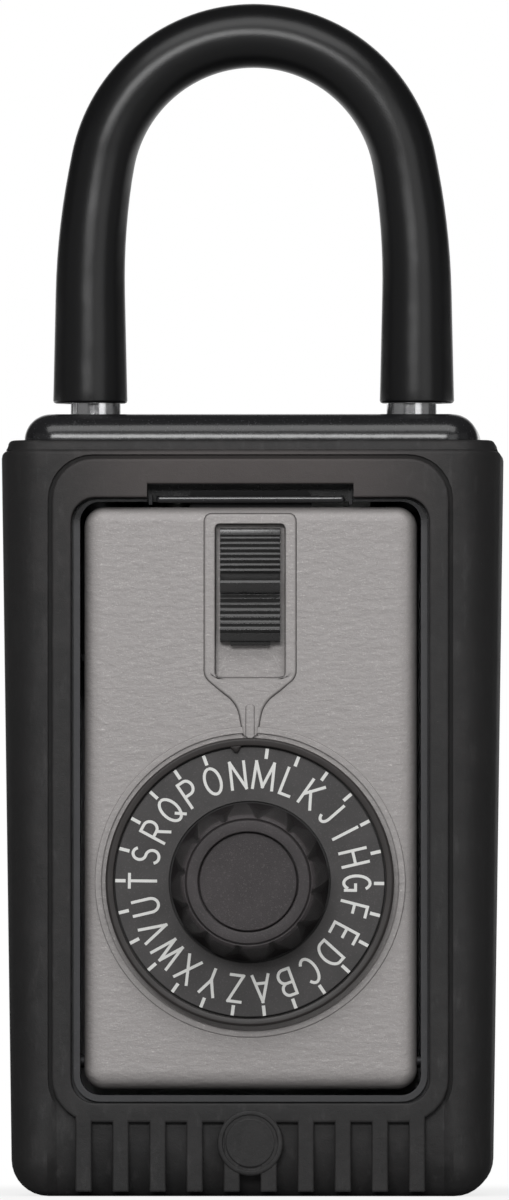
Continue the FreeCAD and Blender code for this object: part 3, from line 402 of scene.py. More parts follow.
class Nodes:
    """A node tree, emptied, to which nodes are added by type, settings and inputs."""

    def __init__(self, tree):
        self.tree = tree
        self.tree.nodes.clear()

    def node(self, kind, settings, inputs):
        """Adds a node; returns its outputs as values, by number or name."""
        node = self.tree.nodes.new(kind)
        for key, value in settings.items():
            setattr(node, key, value)
        for key, value in inputs.items():
            if isinstance(value, Value):
                self.tree.links.new(value.socket, node.inputs[key])
            else:
                node.inputs[key].default_value = value
        return Outputs(self, node)

    def step(self, value, low, high):
        """0 below low, 1 above high, smooth between."""
        settings = {"interpolation_type": "SMOOTHSTEP"}
        inputs = {"Value": value, "From Min": low, "From Max": high}
        return self.node("ShaderNodeMapRange", settings, inputs)[0]

    def blend(self, factor, first, second):
        """Colour between two, by a factor."""
        inputs = {0: factor}
        for key, value in ((6, first), (7, second)):
            inputs[key] = value if isinstance(value, Value) else (*value, 1)
        return self.node("ShaderNodeMix", {"data_type": "RGBA"}, inputs)[2]

    def parts(self, vector):
        """The three numbers of a vector, as values."""
        split = self.node("ShaderNodeSeparateXYZ", {}, {"Vector": vector})
        return split[0], split[1], split[2]

    def noise(self, grain, detail=3.0, roughness=0.5, stretch=None):
        """Soft noise from 0 to 1 whose blobs are about one grain wide, in metres."""
        vector = self.node("ShaderNodeTexCoord", {}, {})["Object"]
        if stretch:
            vector = self.node("ShaderNodeMapping", {}, {"Vector": vector, "Scale": stretch})[0]
        inputs = {"Vector": vector, "Scale": 1 / grain, "Detail": detail, "Roughness": roughness}
        return self.node("ShaderNodeTexNoise", {}, inputs)[0]


class Finish(Nodes):
    """A material with one Principled shader, whose patterns read Object coordinates."""

    def __init__(self, name, **constants):
        self.material = bpy.data.materials.new(name)
        self.material.use_nodes = True
        super().__init__(self.material.node_tree)
        output = self.tree.nodes.new("ShaderNodeOutputMaterial")
        self.shader = self.tree.nodes.new("ShaderNodeBsdfPrincipled")
        self.tree.links.new(self.shader.outputs[0], output.inputs["Surface"])
        self.place = self.node("ShaderNodeTexCoord", {}, {})["Object"]
        # painted shade, read from the points' attribute: darkens gaps, grooves, recess walls and round edges
        self.grime = self.node("ShaderNodeAttribute", {"attribute_name": "grime"}, {})["Fac"]
        self.set(**constants)

    def set(self, **sockets):
        """Sets or links the shader's sockets, named with underscores for spaces."""
        for key, value in sockets.items():
            socket = self.shader.inputs[key.replace("_", " ").title().replace("Ior", "IOR")]
            if isinstance(value, Value):
                self.tree.links.new(value.socket, socket)
            elif isinstance(value, (tuple, list)) and len(value) == 3:
                socket.default_value = (*value, 1)
            else:
                socket.default_value = value
        return self

    def cells(self, grain):
        """A random number from 0 to 1 in each cell of a grain's width."""
        voronoi = self.node("ShaderNodeTexVoronoi", {}, {"Vector": self.place, "Scale": 1 / grain})
        return self.node("ShaderNodeSeparateColor", {}, {"Color": voronoi["Color"]})[0]

    def bump(self, height, depth, strength=1.0, under=None):
        """Normal raised by a height from 0 to 1 over a depth in metres."""
        inputs = {"Height": height, "Distance": depth, "Strength": strength}
        if under is not None:
            inputs["Normal"] = under
        return self.node("ShaderNodeBump", {}, inputs)[0]


def shade(colour_value, factor):
    """A colour made darker or lighter by a number."""
    return tuple(min(1.0, c * factor) for c in colour_value)


def rubber(name, paint):
    """Matt moulded rubber: fine grain, cloudy bloom, dust and rubbed edges; a painted sheen that is palest over the
    door, the top painted lighter and the flanks painted darker, and painted shade where the points carry it.
    """
    finish = Finish(name, specular_ior_level=0.26)
    x, y, z = finish.parts(finish.place)
    cloud = finish.noise(16 * mm, 4)
    fine = finish.noise(2.4 * mm, 5, 0.66)
    scuff = finish.step(finish.noise(1.7 * mm, 5, 0.68, (1, 1, 0.28)), 0.52, 0.76)
    bloom = finish.step(finish.noise(6 * mm, 5, 0.6), 0.42, 0.8)
    dust = finish.step(finish.noise(0.35 * mm, 2), 0.70, 0.82) * finish.step(finish.noise(9 * mm, 2), 0.5, 0.7)
    # painted sheen: a pale patch on the pad over the door, as light falling there
    painted_sheen = finish.step(z, 84 * mm, 108 * mm) * (1 - finish.step(z, 110.1 * mm, 111.3 * mm))
    painted_sheen = painted_sheen * (1 - finish.step(x * x, (8 * mm) ** 2, (31 * mm) ** 2))
    # painted shade on the flanks, which turn away from the light
    flank = finish.step(x * x, (31 * mm) ** 2, (34.2 * mm) ** 2)
    # the top painted lighter, as light from above: height tips the colour from the cool, darker copy towards the warm,
    # lighter one
    high = finish.step(z, 0.0, 110 * mm)
    warm = shade((paint[0] * 1.05, paint[1] * 0.99, paint[2] * 0.97), 1.25)
    cool = shade((paint[0] * 0.94, paint[1] * 1.0, paint[2] * 1.02), 0.85)
    base = finish.blend(finish.step(cloud, 0.36, 0.64) * 0.6 + high * 0.4, cool, warm)
    base = finish.blend(finish.step(fine, 0.35, 0.7) * 0.6, shade(paint, 0.8), base)
    base = finish.blend(scuff * 0.55, base, shade(paint, 2.1))
    base = finish.blend(bloom * 0.35, base, shade(paint, 1.9))
    base = finish.blend(painted_sheen * 0.8, base, (paint[0] * 2.9, paint[1] * 2.6, paint[2] * 2.5))
    base = finish.blend(flank * 0.75, base, shade(paint, 0.45))
    base = finish.blend(dust * 0.5, base, shade(paint, 4.0))
    # painted shade in the groove round the pad
    base = finish.blend(finish.grime * 0.9, base, shade(paint, 0.12))
    grain = finish.noise(0.16 * mm, 2)
    normal = finish.bump(grain, 0.035 * mm, 0.7)
    normal = finish.bump(fine, 0.22 * mm, 0.4, normal)
    rough = 0.46 + grain * 0.14 + bloom * 0.1 + flank * 0.12 + finish.grime * 0.3
    finish.set(base_color=base, roughness=rough, normal=normal)
    return finish.material


def enamel(name, paint):
    """Gloss black enamel with a slight orange peel, dust specks and hairline rubs; beside the door and under it the
    colour is painted paler, as painted light on the window's lip, and the enamel there is more satin."""
    finish = Finish(name, specular_ior_level=0.46, coat_roughness=0.12)
    x, y, z = finish.parts(finish.place)
    # below the top: painted light, a paler colour on the lip round the window, and a more satin gloss
    painted_light_and_satin = 1 - finish.step(z, 98 * mm, 101.5 * mm)
    peel = finish.noise(1.4 * mm, 2)
    wave = finish.noise(9 * mm, 2)
    rub = finish.step(finish.noise(1.2 * mm, 5, 0.7, (1, 1, 0.15)), 0.60, 0.76)
    speck = finish.step(finish.cells(0.14 * mm), 0.965, 1.0)
    normal = finish.bump(wave, 0.3 * mm, 0.4)
    normal = finish.bump(peel, 0.04 * mm, 0.5, normal)
    base = finish.blend(painted_light_and_satin, paint, shade(paint, 2.8))
    base = finish.blend(rub * 0.5, base, shade(paint, 3.0))
    base = finish.blend(speck * 0.4, base, shade(paint, 8.0))
    rough = 0.22 + rub * 0.22 + peel * 0.04 + painted_light_and_satin * 0.22
    finish.set(base_color=base, roughness=rough, coat_weight=0.3 - painted_light_and_satin * 0.25, normal=normal)
    return finish.material


def door_paint(name, paint):
    """Textured grey paint with bright and dark metallic flecks, soft lumps and faint handling marks, and painted shade
    on the recess walls and round edges.
    """
    finish = Finish(name, specular_ior_level=0.4)
    fleck = finish.cells(0.12 * mm)
    bright = finish.step(fleck, 0.86, 1.0)
    dark = 1 - finish.step(fleck, 0.0, 0.16)
    cloud = finish.noise(14 * mm, 3)
    lumps = finish.noise(0.5 * mm, 3, 0.55)
    mark = finish.step(finish.noise(2.2 * mm, 5, 0.75), 0.66, 0.78)
    blotch = finish.noise(1.5 * mm, 4, 0.62, (0.6, 1, 1.4))
    base = finish.blend(finish.step(cloud, 0.3, 0.7), shade(paint, 0.96), shade(paint, 1.05))
    base = finish.blend(finish.step(blotch, 0.3, 0.7) * 0.7, shade(paint, 0.86), base)
    base = finish.blend(finish.step(lumps, 0.25, 0.75) * 0.6, shade(paint, 0.86), base)
    base = finish.blend(dark * 0.25, base, shade(paint, 0.66))
    base = finish.blend(bright * 0.28, base, shade(paint, 1.6))
    base = finish.blend(mark * 0.18, base, shade(paint, 0.7))
    # painted shade on the recess walls, the rounded edge and the rear rim
    base = finish.blend(finish.grime * 0.85, base, (0.020, 0.018, 0.017))
    normal = finish.bump(blotch, 0.3 * mm, 0.6)
    normal = finish.bump(lumps, 0.07 * mm, 0.6, normal)
    normal = finish.bump(finish.noise(0.2 * mm, 1), 0.02 * mm, 0.6, normal)
    finish.set(base_color=base, roughness=0.52 - bright * 0.15 + mark * 0.08, metallic=bright * 0.3, normal=normal)
    return finish.material


def vinyl(name, paint):
    """Satin dipped vinyl with long soft ripples and fine rubs."""
    finish = Finish(name, specular_ior_level=0.42)
    ripple = finish.noise(11 * mm, 2)
    rub = finish.step(finish.noise(0.9 * mm, 5, 0.72), 0.6, 0.78)
    grain = finish.noise(0.18 * mm, 2)
    base = finish.blend(rub * 0.5, paint, shade(paint, 2.2))
    normal = finish.bump(ripple, 0.5 * mm, 0.35)
    normal = finish.bump(grain, 0.02 * mm, 0.5, normal)
    finish.set(base_color=base, roughness=0.27 + rub * 0.18 + grain * 0.06, normal=normal)
    return finish.material


def plastic(name, paint, rough, grain_depth=0.03, fleck=0.25, specular=0.42):
    """Moulded plastic with a spark-eroded grain, fine pale flecks and slight clouding, and painted shade where the
    points carry it.
    """
    finish = Finish(name, specular_ior_level=specular)
    grain = finish.noise(0.17 * mm, 3, 0.6)
    cloud = finish.noise(5 * mm, 3)
    spots = finish.step(finish.cells(0.16 * mm), 0.84, 1.0)
    base = finish.blend(finish.step(cloud, 0.32, 0.68), shade(paint, 0.88), shade(paint, 1.1))
    base = finish.blend(spots * fleck, base, shade(paint, 2.6))
    # painted shade in gaps, flutes and on faces turned from the light
    base = finish.blend(finish.grime * 0.85, base, shade(paint, 0.25))
    finish.set(base_color=base, roughness=rough + grain * 0.14, normal=finish.bump(grain, grain_depth * mm, 0.7))
    return finish.material


def print_paint(name, paint):
    """Off-white printed paint, a little thin in places."""
    finish = Finish(name, specular_ior_level=0.4)
    thin = finish.step(finish.noise(0.5 * mm, 4, 0.65), 0.5, 0.85)
    grain = finish.noise(0.2 * mm, 2)
    finish.set(
        base_color=finish.blend(thin * 0.2, paint, shade(paint, 0.7)),
        roughness=0.5 + grain * 0.15,
        normal=finish.bump(grain, 0.02 * mm, 0.5),
    )
    return finish.material


def metal(name, paint, rough, brushed=(1, 1, 1), stain=0.2, depth=0.01, shaded_below=-1.0):
    """Bare or plated metal: drawn scratches, stains and uneven gloss, darkened nearly to black and rougher below a
    height, as painted shade on steel inside the case.
    """
    finish = Finish(name)
    scratch = finish.noise(0.25 * mm, 4, 0.7, brushed)
    cloud = finish.step(finish.noise(3.5 * mm, 4), 0.4, 0.75)
    base = finish.blend(cloud * stain, paint, shade(paint, 0.62))
    base = finish.blend(finish.step(scratch, 0.55, 0.8) * 0.25, base, shade(paint, 0.8))
    # painted shade: below the height the colour goes nearly black, so the steel inside the case shows no glint through
    # the gap
    painted_shade_and_dull = 1 - finish.step(finish.parts(finish.place)[2], shaded_below - 1 * mm, shaded_below + 1 * mm)
    base = finish.blend(painted_shade_and_dull * 0.85, base, shade(paint, 0.12))
    finish.set(
        base_color=base,
        metallic=1.0,
        roughness=rough + scratch * 0.14 + cloud * 0.12 + painted_shade_and_dull * 0.3,
        normal=finish.bump(scratch, depth * mm, 0.6),
    )
    return finish.material


def cast_zinc(name, paint):
    """Plain die-cast zinc: dull, clouded, with a sandy skin."""
    finish = Finish(name)
    sand = finish.noise(0.3 * mm, 4, 0.65)
    cloud = finish.step(finish.noise(7 * mm, 4), 0.3, 0.8)
    base = finish.blend(cloud * 0.35, paint, shade(paint, 0.75))
    finish.set(
        base_color=base, metallic=0.85, roughness=0.45 + sand * 0.2 + cloud * 0.05, normal=finish.bump(sand, 0.05 * mm, 0.6)
    )
    return finish.material


finishes = {}


def finish_for(slot, maker, *values, **named):
    """The slot's material, made once."""
    if slot not in finishes:
        finishes[slot] = maker(slot, *values, **named)
    return finishes[slot]


# Boot
def boot_columns():
    """The front rectangle that joins the boot's face to its body, as a loop (x, z)."""
    s = bpy.context.scene.key_safe_boot
    outer = front_loop(
        s.pad_half + s.groove,
        s.pad_low - s.groove,
        s.pad_top + s.groove,
        s.pad_radius_low + s.groove,
        s.pad_radius_top + s.groove,
    )
    edge_x = s.pad_half + s.groove + 0.1 * mm
    low = s.pad_low - s.groove - 0.1 * mm
    top = s.pad_top + s.groove + 0.05 * mm
    loop = outer.copy()
    right = slice(low_count, low_count + side_count)
    top_part = slice(low_count + side_count, 2 * low_count + side_count)
    left = slice(2 * low_count + side_count, None)
    loop[:low_count, 1] = low
    loop[top_part, 1] = top
    loop[right, 0] = edge_x
    loop[left, 0] = -edge_x
    loop[[0, low_count - 1], 0] = -edge_x, edge_x
    loop[[low_count + side_count, 2 * low_count + side_count - 1], 0] = edge_x, -edge_x
    shoulder = boot_top_z_at_shoulder()
    loop[low_count + side_count - 1, 1] = shoulder
    loop[2 * low_count + side_count, 1] = shoulder
    return outer, loop


def boot_top_z_at_shoulder():
    """Where the side's rounding under the boot's top edge starts."""
    return boot_edge_z() - 1.2 * mm


def boot_edge_z():
    """Height of the boot's top edge, under its collar."""
    return boot_top_z - 1.5 * mm


def plan_row(z, half, y_front, y_back, radius_back, columns):
    """Closed loop at height z, anticlockwise from above, its front stretch at the columns' places."""
    edge = columns[-1]
    flat = columns * min(1.0, (half - 0.3 * mm) / edge)
    radius = half - flat[-1]
    front_turn = np.radians(np.arange(15, 91, 15))
    back_turn = np.radians(np.arange(0, 91, 15))
    y_shoulder, y_rear = y_front + radius, y_back - radius_back
    straight = np.linspace(0, 1, 5)[1:-1]
    corner_x = flat[-1] + radius * np.sin(front_turn)
    corner_y = y_front + radius * (1 - np.cos(front_turn))
    side_x = np.full(3, half)
    side_y = y_shoulder + (y_rear - y_shoulder) * straight
    rear_x = half - radius_back + radius_back * np.cos(back_turn)
    rear_y = y_back - radius_back + radius_back * np.sin(back_turn)
    x = np.concatenate([corner_x, side_x, rear_x])
    y = np.concatenate([corner_y, side_y, rear_y])
    back_x = np.linspace(rear_x[-1], -rear_x[-1], 7)[1:-1]
    loop_x = np.concatenate([flat, x, back_x, -x[::-1]])
    loop_y = np.concatenate([np.full(len(flat), y_front), y, np.full(5, y_back), y[::-1]])
    return np.stack([loop_x, loop_y, np.full(len(loop_x), z)], 1)


def boot_mesh():
    """Body rows run from the lining's floor up its inside, over the collar and down the outside to the
    foot; the front rectangle is left out there and filled by loops that run from the lining through the
    window, over the pad and the groove, to the same rectangle. The hollow for the slots is a quarter
    ellipse cut across the foot's front edge."""
    s = bpy.context.scene.key_safe_boot
    outer, rectangle = boot_columns()
    low_columns = rectangle[:low_count, 0]
    top_columns = rectangle[low_count + side_count : 2 * low_count + side_count, 0][::-1]
    side_rows = rectangle[low_count : low_count + side_count, 1]
    rect_low, rect_top = rectangle[0, 1], rectangle[low_count + side_count, 1]
    edge_z = boot_edge_z()
    taper = (s.half_top - s.half_low) / edge_z
    wall = s.half_low - 33.1 * mm
    lining_radius = 4.6 * mm
    lining_floor = 2.6 * mm
    turns = np.radians(np.linspace(90, 0, 6))
    rows = []
    skip_rows = []

    def row(z, inset=0.0, front_inset=0.0, columns=low_columns, skip=False):
        half = s.half_low + taper * z - inset
        rows.append(plan_row(z, half, s.front + front_inset, boot_back_y - min(inset, 5.4 * mm), s.back_radius - min(inset, 5.4 * mm), columns))
        skip_rows.append(skip)

    def lining(z, inset=0.0, columns=low_columns, skip=False):
        half = 33.1 * mm + (33.9 - 33.1) * mm * z / edge_z - inset
        rows.append(plan_row(z, half, s.lining_front + inset, s.lining_back - inset, 5.2 * mm - inset, columns))
        skip_rows.append(skip)

    first = np.zeros_like(plan_row(0, s.half_low, s.front, boot_back_y, s.back_radius, low_columns))
    first[:] = (0, 6 * mm, lining_floor)
    rows.append(first)
    skip_rows.append(False)
    for turn in turns:
        lining(lining_floor + lining_radius * (1 - math.sin(turn)), lining_radius * (1 - math.cos(turn)))
    lining(rect_low, skip=True)
    for z in side_rows:
        lining(z, skip=True)
    lining(rect_top, columns=top_columns)
    lining(boot_top_z - 0.25 * mm, columns=top_columns)
    lining(boot_top_z - 0.05 * mm, -0.08 * mm, columns=top_columns)
    lining(boot_top_z, -0.25 * mm, columns=top_columns)
    collar, soft = 1.0 * mm, 0.75 * mm
    for turn in np.radians((90, 65, 40, 15, 0)):
        inset = collar + soft * (1 - math.cos(turn))
        row(boot_top_z - soft * (1 - math.sin(turn)), inset, inset, top_columns)
    row(edge_z + 0.35 * mm, collar - 0.15 * mm, collar - 0.1 * mm, top_columns)
    row(edge_z + 0.05 * mm, collar - 0.35 * mm, collar - 0.3 * mm, top_columns)
    side_radius, front_radius = 1.2 * mm, 0.62 * mm
    for drop in (0.03 * mm, 0.12 * mm, 0.28 * mm, 0.45 * mm):
        side = side_radius - math.sqrt(side_radius**2 - (side_radius - drop) ** 2)
        front = front_radius - math.sqrt(front_radius**2 - (front_radius - drop) ** 2)
        row(edge_z - drop, side, front, top_columns)
    drop = edge_z - rect_top
    row(rect_top, side_radius - math.sqrt(side_radius**2 - (side_radius - drop) ** 2), 0, top_columns, True)
    for z in side_rows[::-1]:
        row(z, skip=True)
    row(rect_low)
    for z in (8.6 * mm, 7.0 * mm):
        row(z)
    radius = s.floor_radius
    for turn in np.radians(np.linspace(0, 90, 9)):
        row(radius * (1 - math.sin(turn)), radius * (1 - math.cos(turn)), radius * (1 - math.cos(turn)))
    last = np.zeros_like(rows[0])
    last[:] = (0, 7 * mm, 0)
    rows.append(last)
    skip_rows.append(False)
    body = np.array(rows)
    trough_half = s.slot_count // 2 * s.slot_pitch + s.slot_width / 2
    hollow = body[:, :, 2] <= rect_low + 1e-9
    hollow &= np.abs(body[:, :, 0]) < trough_half
    hollow &= body[:, :, 1] < 0
    outside = np.arange(len(body))[:, None] > len(body) // 2
    depth = 4.4 * mm * (1 - np.sqrt(np.clip(1 - ((rect_low - body[:, :, 2]) / rect_low) ** 2, 0, 1)))
    hollow_y = np.maximum(s.groove_floor + depth, body[:, :, 1])
    body[:, :, 1] = np.where(hollow & outside, hollow_y, body[:, :, 1])
    skip = np.zeros((len(body), body.shape[1]), bool)
    skip[np.array(skip_rows), : low_count - 1] = True

    def window(grow):
        loop = front_loop(s.window_half + grow, s.window_low - grow, s.window_top + grow, s.window_radius + grow, s.window_radius + grow)
        raised = (order[:, 0] == 1) & (order[:, 2] > 0) & (np.abs(order[:, 4]) < 0.6674)
        loop[raised, 1] += s.notch_rise
        return loop

    def pad(grow):
        return front_loop(
            s.pad_half + grow, s.pad_low - grow, s.pad_top + grow, s.pad_radius_low + grow, s.pad_radius_top + grow
        )

    in_slot = (np.abs(outer[:, 0]) < trough_half) & (outer[:, 1] < 14 * mm)
    border = np.where(in_slot, s.groove_floor, s.front)
    lip = np.where(in_slot, s.groove_floor, s.front + 0.06 * mm)
    r = 0.35 * mm
    loops = [
        at_depth(rectangle, s.lining_front),
        at_depth(window(0), s.lining_front),
        at_depth(window(0), s.pad_front + r),
        at_depth(window(0.3 * r), s.pad_front + 0.3 * r),
        at_depth(window(r), s.pad_front),
        at_depth(pad(-1.2 * r), s.pad_front),
        at_depth(pad(-0.4 * r), s.pad_front + 0.15 * r),
        at_depth(pad(-0.1 * r), s.pad_front + 0.45 * r),
        at_depth(pad(0), s.pad_front + r),
        at_depth(pad(0), s.groove_floor),
        at_depth(outer, s.groove_floor),
        at_depth(outer, lip),
        at_depth(outer + np.sign(outer - [0, 60 * mm]) * 0.04 * mm, border),
        at_depth(rectangle, border),
    ]
    # painted shade on the groove's floor round the pad
    grime = np.zeros((len(loops), len(outer)))
    grime[9:11] = np.where(in_slot, 0, 0.5)
    front = Patch(np.array(loops), close_columns=True, grime=grime)
    return mesh_of("boot_shell", [Patch(body, close_columns=True, skip=skip), front])


def rib_mesh():
    """Bars between the slots: a plan outline with rounded front edges carried down the foot."""
    s = bpy.context.scene.key_safe_boot
    half = (s.slot_pitch - s.slot_width) / 2
    front, back = s.pad_front - 0.012 * mm, -6.0 * mm
    line = rounded([(-half, back, 0), (-half, front, 0.3 * mm), (half, front, 0.3 * mm), (half, back, 0)], 4)
    top = s.pad_low + 1.6 * mm
    heights = np.array([top, top, 1.1 * mm, 0.8 * mm, 0.7 * mm, 0.7 * mm])
    shrink = np.array([0, 1, 1, 0.97, 0.85, 0])
    middle = np.array([0, -9 * mm])
    plan = middle + (line - middle) * shrink[:, None, None]
    bar = np.concatenate([plan, np.broadcast_to(heights[:, None, None], (*plan.shape[:2], 1))], 2)
    first = -(s.slot_count - 2) / 2
    places = (first + np.arange(s.slot_count - 1)) * s.slot_pitch
    return mesh_of("boot_ribs", [Patch(bar + [x, 0, 0], close_columns=True) for x in places])


def medallion_mesh():
    """Plain round medallion with one ring groove, turned about the Y axis."""
    s = bpy.context.scene.key_safe_boot
    r = s.medallion_radius
    face = s.pad_front - 0.16 * mm
    groove = 0.22 * mm
    profile = [
        (0, face + 0.1 * mm, 0),
        (r - 1.35 * mm, face + 0.02 * mm, 0.3 * mm),
        (r - 1.15 * mm, face + groove, 0.1 * mm),
        (r - 0.85 * mm, face + groove, 0.1 * mm),
        (r - 0.7 * mm, face, 0.1 * mm),
        (r, face, 0.3 * mm),
        (r, -8 * mm, 0),
        (0, -8 * mm, 0),
    ]
    line = rounded(profile, 3)
    return mesh_of("boot_medallion", [Patch(revolve(line, 72, (0, s.medallion_z)), close_columns=True, flip=True)])


class MakeBoot(bpy.types.Operator):
    """Rubber boot with its pad, groove, slots and medallion"""

    bl_idname = "key_safe.boot"
    bl_label = "Boot"

    def execute(self, context):
        skin = finish_for("boot_rubber", rubber, context.scene.key_safe_boot.paint)
        new_piece(boot_mesh(), "case", skin, ("rubber_boot",), 35)
        new_piece(rib_mesh(), "case", skin)
        new_piece(medallion_mesh(), "case", skin)
        return {"FINISHED"}


# Case and latch bar
def capsule_bar(half, low, high, front, back):
    """Bar along X with rounded long edges and ends: an ellipse section that shrinks as a quarter circle."""
    reach = (high - low) / 2
    along = np.sin(np.linspace(-math.pi / 2, math.pi / 2, 9))
    x = np.concatenate([-half + reach + reach * along[:5], half - reach + reach * along[4:]])
    grow = np.concatenate([np.cos(np.arcsin(along[:5])), np.cos(np.arcsin(along[4:]))])
    turn = np.arange(24) / 24 * 2 * math.pi
    square = 0.75
    section_y = np.sign(np.cos(turn)) * np.abs(np.cos(turn)) ** square
    section_z = np.sign(np.sin(turn)) * np.abs(np.sin(turn)) ** square
    y = (front + back) / 2 + np.outer(np.maximum(grow, 0), section_y) * (back - front) / 2
    z = (low + high) / 2 + np.outer(np.maximum(grow, 0), section_z) * reach
    return np.stack([np.broadcast_to(x[:, None], y.shape), y, z], 2)


class MakeCase(bpy.types.Operator):
    """Enamelled case with its latch bar"""

    bl_idname = "key_safe.case"
    bl_label = "Case"

    def execute(self, context):
        skin = finish_for("case_paint", enamel, context.scene.key_safe_door.enamel)
        smooth_copy("case", "case_casting", "case", skin)
        low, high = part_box("latch_staple")
        bar = capsule_bar(high.x, low.z, high.z, low.y, low.y + 1.1 * mm)
        new_piece(mesh_of("latch_bar", [Patch(bar, close_columns=True, flip=True)]), "case", skin, ("latch_staple",))
        return {"FINISHED"}


# Door
def door_mesh():
    """Loops from the middle of the recess's floor, up its wall, over the face, round the pillowed edge and
    the side, over the rear rim and down its inside to a middle point behind the recess."""
    s = bpy.context.scene.key_safe_door

    def outline(grow):
        top = door_top_z + 0.72 * grow
        return front_loop(s.half + grow, door_low_z - grow, top, s.radius + grow, s.radius + grow)

    def recess(grow):
        return front_loop(s.recess_half + grow, s.recess_low - grow, s.recess_top + grow, 0.6 * mm + grow, 0.6 * mm + grow)

    middle = np.array([0, (s.recess_low + s.recess_top) / 2])
    inner_floor = s.recess_floor + 0.9 * mm
    loops = [
        at_depth(middle + recess(0) * 0, s.recess_floor),
        at_depth(recess(-0.25 * mm), s.recess_floor),
        at_depth(recess(-0.06 * mm), s.recess_floor - 0.06 * mm),
        at_depth(recess(0), s.recess_floor - 0.25 * mm),
        at_depth(recess(0), s.front),
        at_depth(recess(0.3 * mm), s.front),
    ]
    # painted shade on the recess's wall, on the door's rounded edge growing towards its side, and on the rear rim
    grime = [0, 0, 0.3, 1.0, 0.8, 0]
    for turn in np.radians(np.linspace(0, 90, 11)):
        inset = s.pillow * (1 - math.sin(turn))
        loops.append(at_depth(outline(-inset), s.front + s.pillow * (1 - math.cos(turn))))
        grime.append(max(0, 1.75 * (math.sin(turn) - 0.5)))
    loops += [
        at_depth(outline(0), door_back_y - 0.3 * mm),
        at_depth(outline(-0.3 * mm), door_back_y),
        at_depth(outline(-s.wall), door_back_y),
        at_depth(outline(-s.wall), inner_floor),
        at_depth(middle + recess(0) * 0, inner_floor),
    ]
    grime += [0.9, 0.5, 0, 0, 0]
    return mesh_of("door_body", [Patch(np.array(loops), close_columns=True, grime=grime)])


def shield_side(s, grow):
    """Right half of the shield's outline, top to stem, as a smooth line of (x, z)."""
    top = s.recess_top + 1.6 * mm
    corners = [
        (0, top + grow, 0),
        (s.shield_half + grow, top + grow, 1.1 * mm + grow),
        (s.shield_half + grow, top - 24.3 * mm, 2.2 * mm),
        (4.6 * mm + grow, top - 26.2 * mm - grow * 0.5, 2.4 * mm),
        (1.9 * mm + grow, top - 28.3 * mm - grow * 0.5, 4.6 * mm),
        (1.1 * mm + grow, top - 32.95 * mm, 0),
    ]
    return rounded(corners, 6)


def spaced(line, count):
    """A line resampled to so many points at even steps along it."""
    step = np.concatenate([[0], np.cumsum(np.linalg.norm(np.diff(line, axis=0), axis=1))])
    even = np.linspace(0, step[-1], count)
    return np.stack([np.interp(even, step, line[:, 0]), np.interp(even, step, line[:, 1])], 1)


def matched(line, marks, steps):
    """A line resampled with so many steps between its points that lie nearest to the marks."""
    fine = spaced(line, 4001)
    at = [0] + [int(np.argmin(np.linalg.norm(fine - mark, axis=1))) for mark in marks] + [4000]
    index = [np.linspace(a, b, count, endpoint=False) for a, b, count in zip(at[:-1], at[1:], steps)]
    return fine[np.rint(np.append(np.concatenate(index), 4000)).astype(int)]


def shield_mesh():
    """Raised shield as two mirrored strips: rows run from the recess's edge, or below it from the middle
    line, out over the flat top, the soft shoulder and down into the door, and close behind. The index
    bar stands on it."""
    s = bpy.context.scene.key_safe_door
    face = s.front - s.shield_rise
    top, low = s.recess_top, s.recess_low
    steps = (20, 40, 24, 36)
    first_stem = sum(steps[:3])

    def outside(grow):
        marks = [(s.shield_half, top + 1.6 * mm), (s.shield_half, low + 1.2 * mm), (4.0 * mm, low - 2.4 * mm)]
        return matched(shield_side(s, grow), marks, steps)

    stem_end = outside(0)[-1, 1]

    def hole(grow):
        half, soft = s.recess_half + grow, 0.6 * mm + grow
        side = [(0, top + grow, 0), (half, top + grow, soft), (half, low - grow, soft), (0, low - grow, 0), (0, stem_end, 0)]
        return matched(rounded(side, 4), [(half, top + grow), (half, low - grow), (0, low - grow)], steps)

    # the third number of each strip is painted shade, on the recess's walls and the shield's shoulder
    strips = [
        (hole(0), s.front + 0.3 * mm, 1),
        (hole(0), face + 0.2 * mm, 1),
        (hole(0.14 * mm), face, 0.35),
        (hole(0.3 * mm), face, 0),
        (outside(-0.42 * mm), face, 0),
        (outside(-0.24 * mm), face + 0.02 * mm, 0),
        (outside(-0.1 * mm), face + 0.12 * mm, 0.3),
        (outside(0), face + 0.32 * mm, 1),
        (outside(0.08 * mm), face + 0.42 * mm, 1),
        (outside(0.08 * mm), face + 0.8 * mm, 1),
    ]
    half = np.array([at_depth(line, y) for line, y, grime in strips])
    half = np.concatenate([half, np.broadcast_to([0, s.front + 0.4 * mm, stem_end], (len(half), 1, 3))], 1)
    skip = np.zeros(half.shape[:2], bool)
    skip[:3, first_stem:] = True
    grime = [grime for line, y, grime in strips]
    bar_top = dial_z + 26.4 * mm
    bar_line = rounded([(0, bar_top, 0), (0.72 * mm, bar_top, 0.5 * mm), (0.78 * mm, dial_z + 21.7 * mm, 0)], 4)
    bar = []
    for scale, drop in ((0, -0.2), (0.55, -0.2), (0.8, -0.15), (1, 0.05), (1.25, 0.05), (0, 0.05)):
        bar.append(at_depth(bar_line * [scale, 1] + [0, (scale - 1) * 0.4 * mm], face + drop * mm))
    bar_end = np.broadcast_to([0, face, bar_line[-1, 1] - 0.4 * mm], (len(bar), 1, 3))
    bar = np.concatenate([np.array(bar), bar_end], 1)
    # painted shade on the index bar's sides
    bar_painted_shade = [0, 0, 0.2, 1, 1, 1]
    return mesh_of(
        "door_shield",
        [
            Patch(half, True, skip=skip, flip=True, grime=grime),
            Patch(half * [-1, 1, 1], True, skip=skip, grime=grime),
            Patch(bar, flip=True, grime=bar_painted_shade),
            Patch(bar * [-1, 1, 1], grime=bar_painted_shade),
        ],
    )


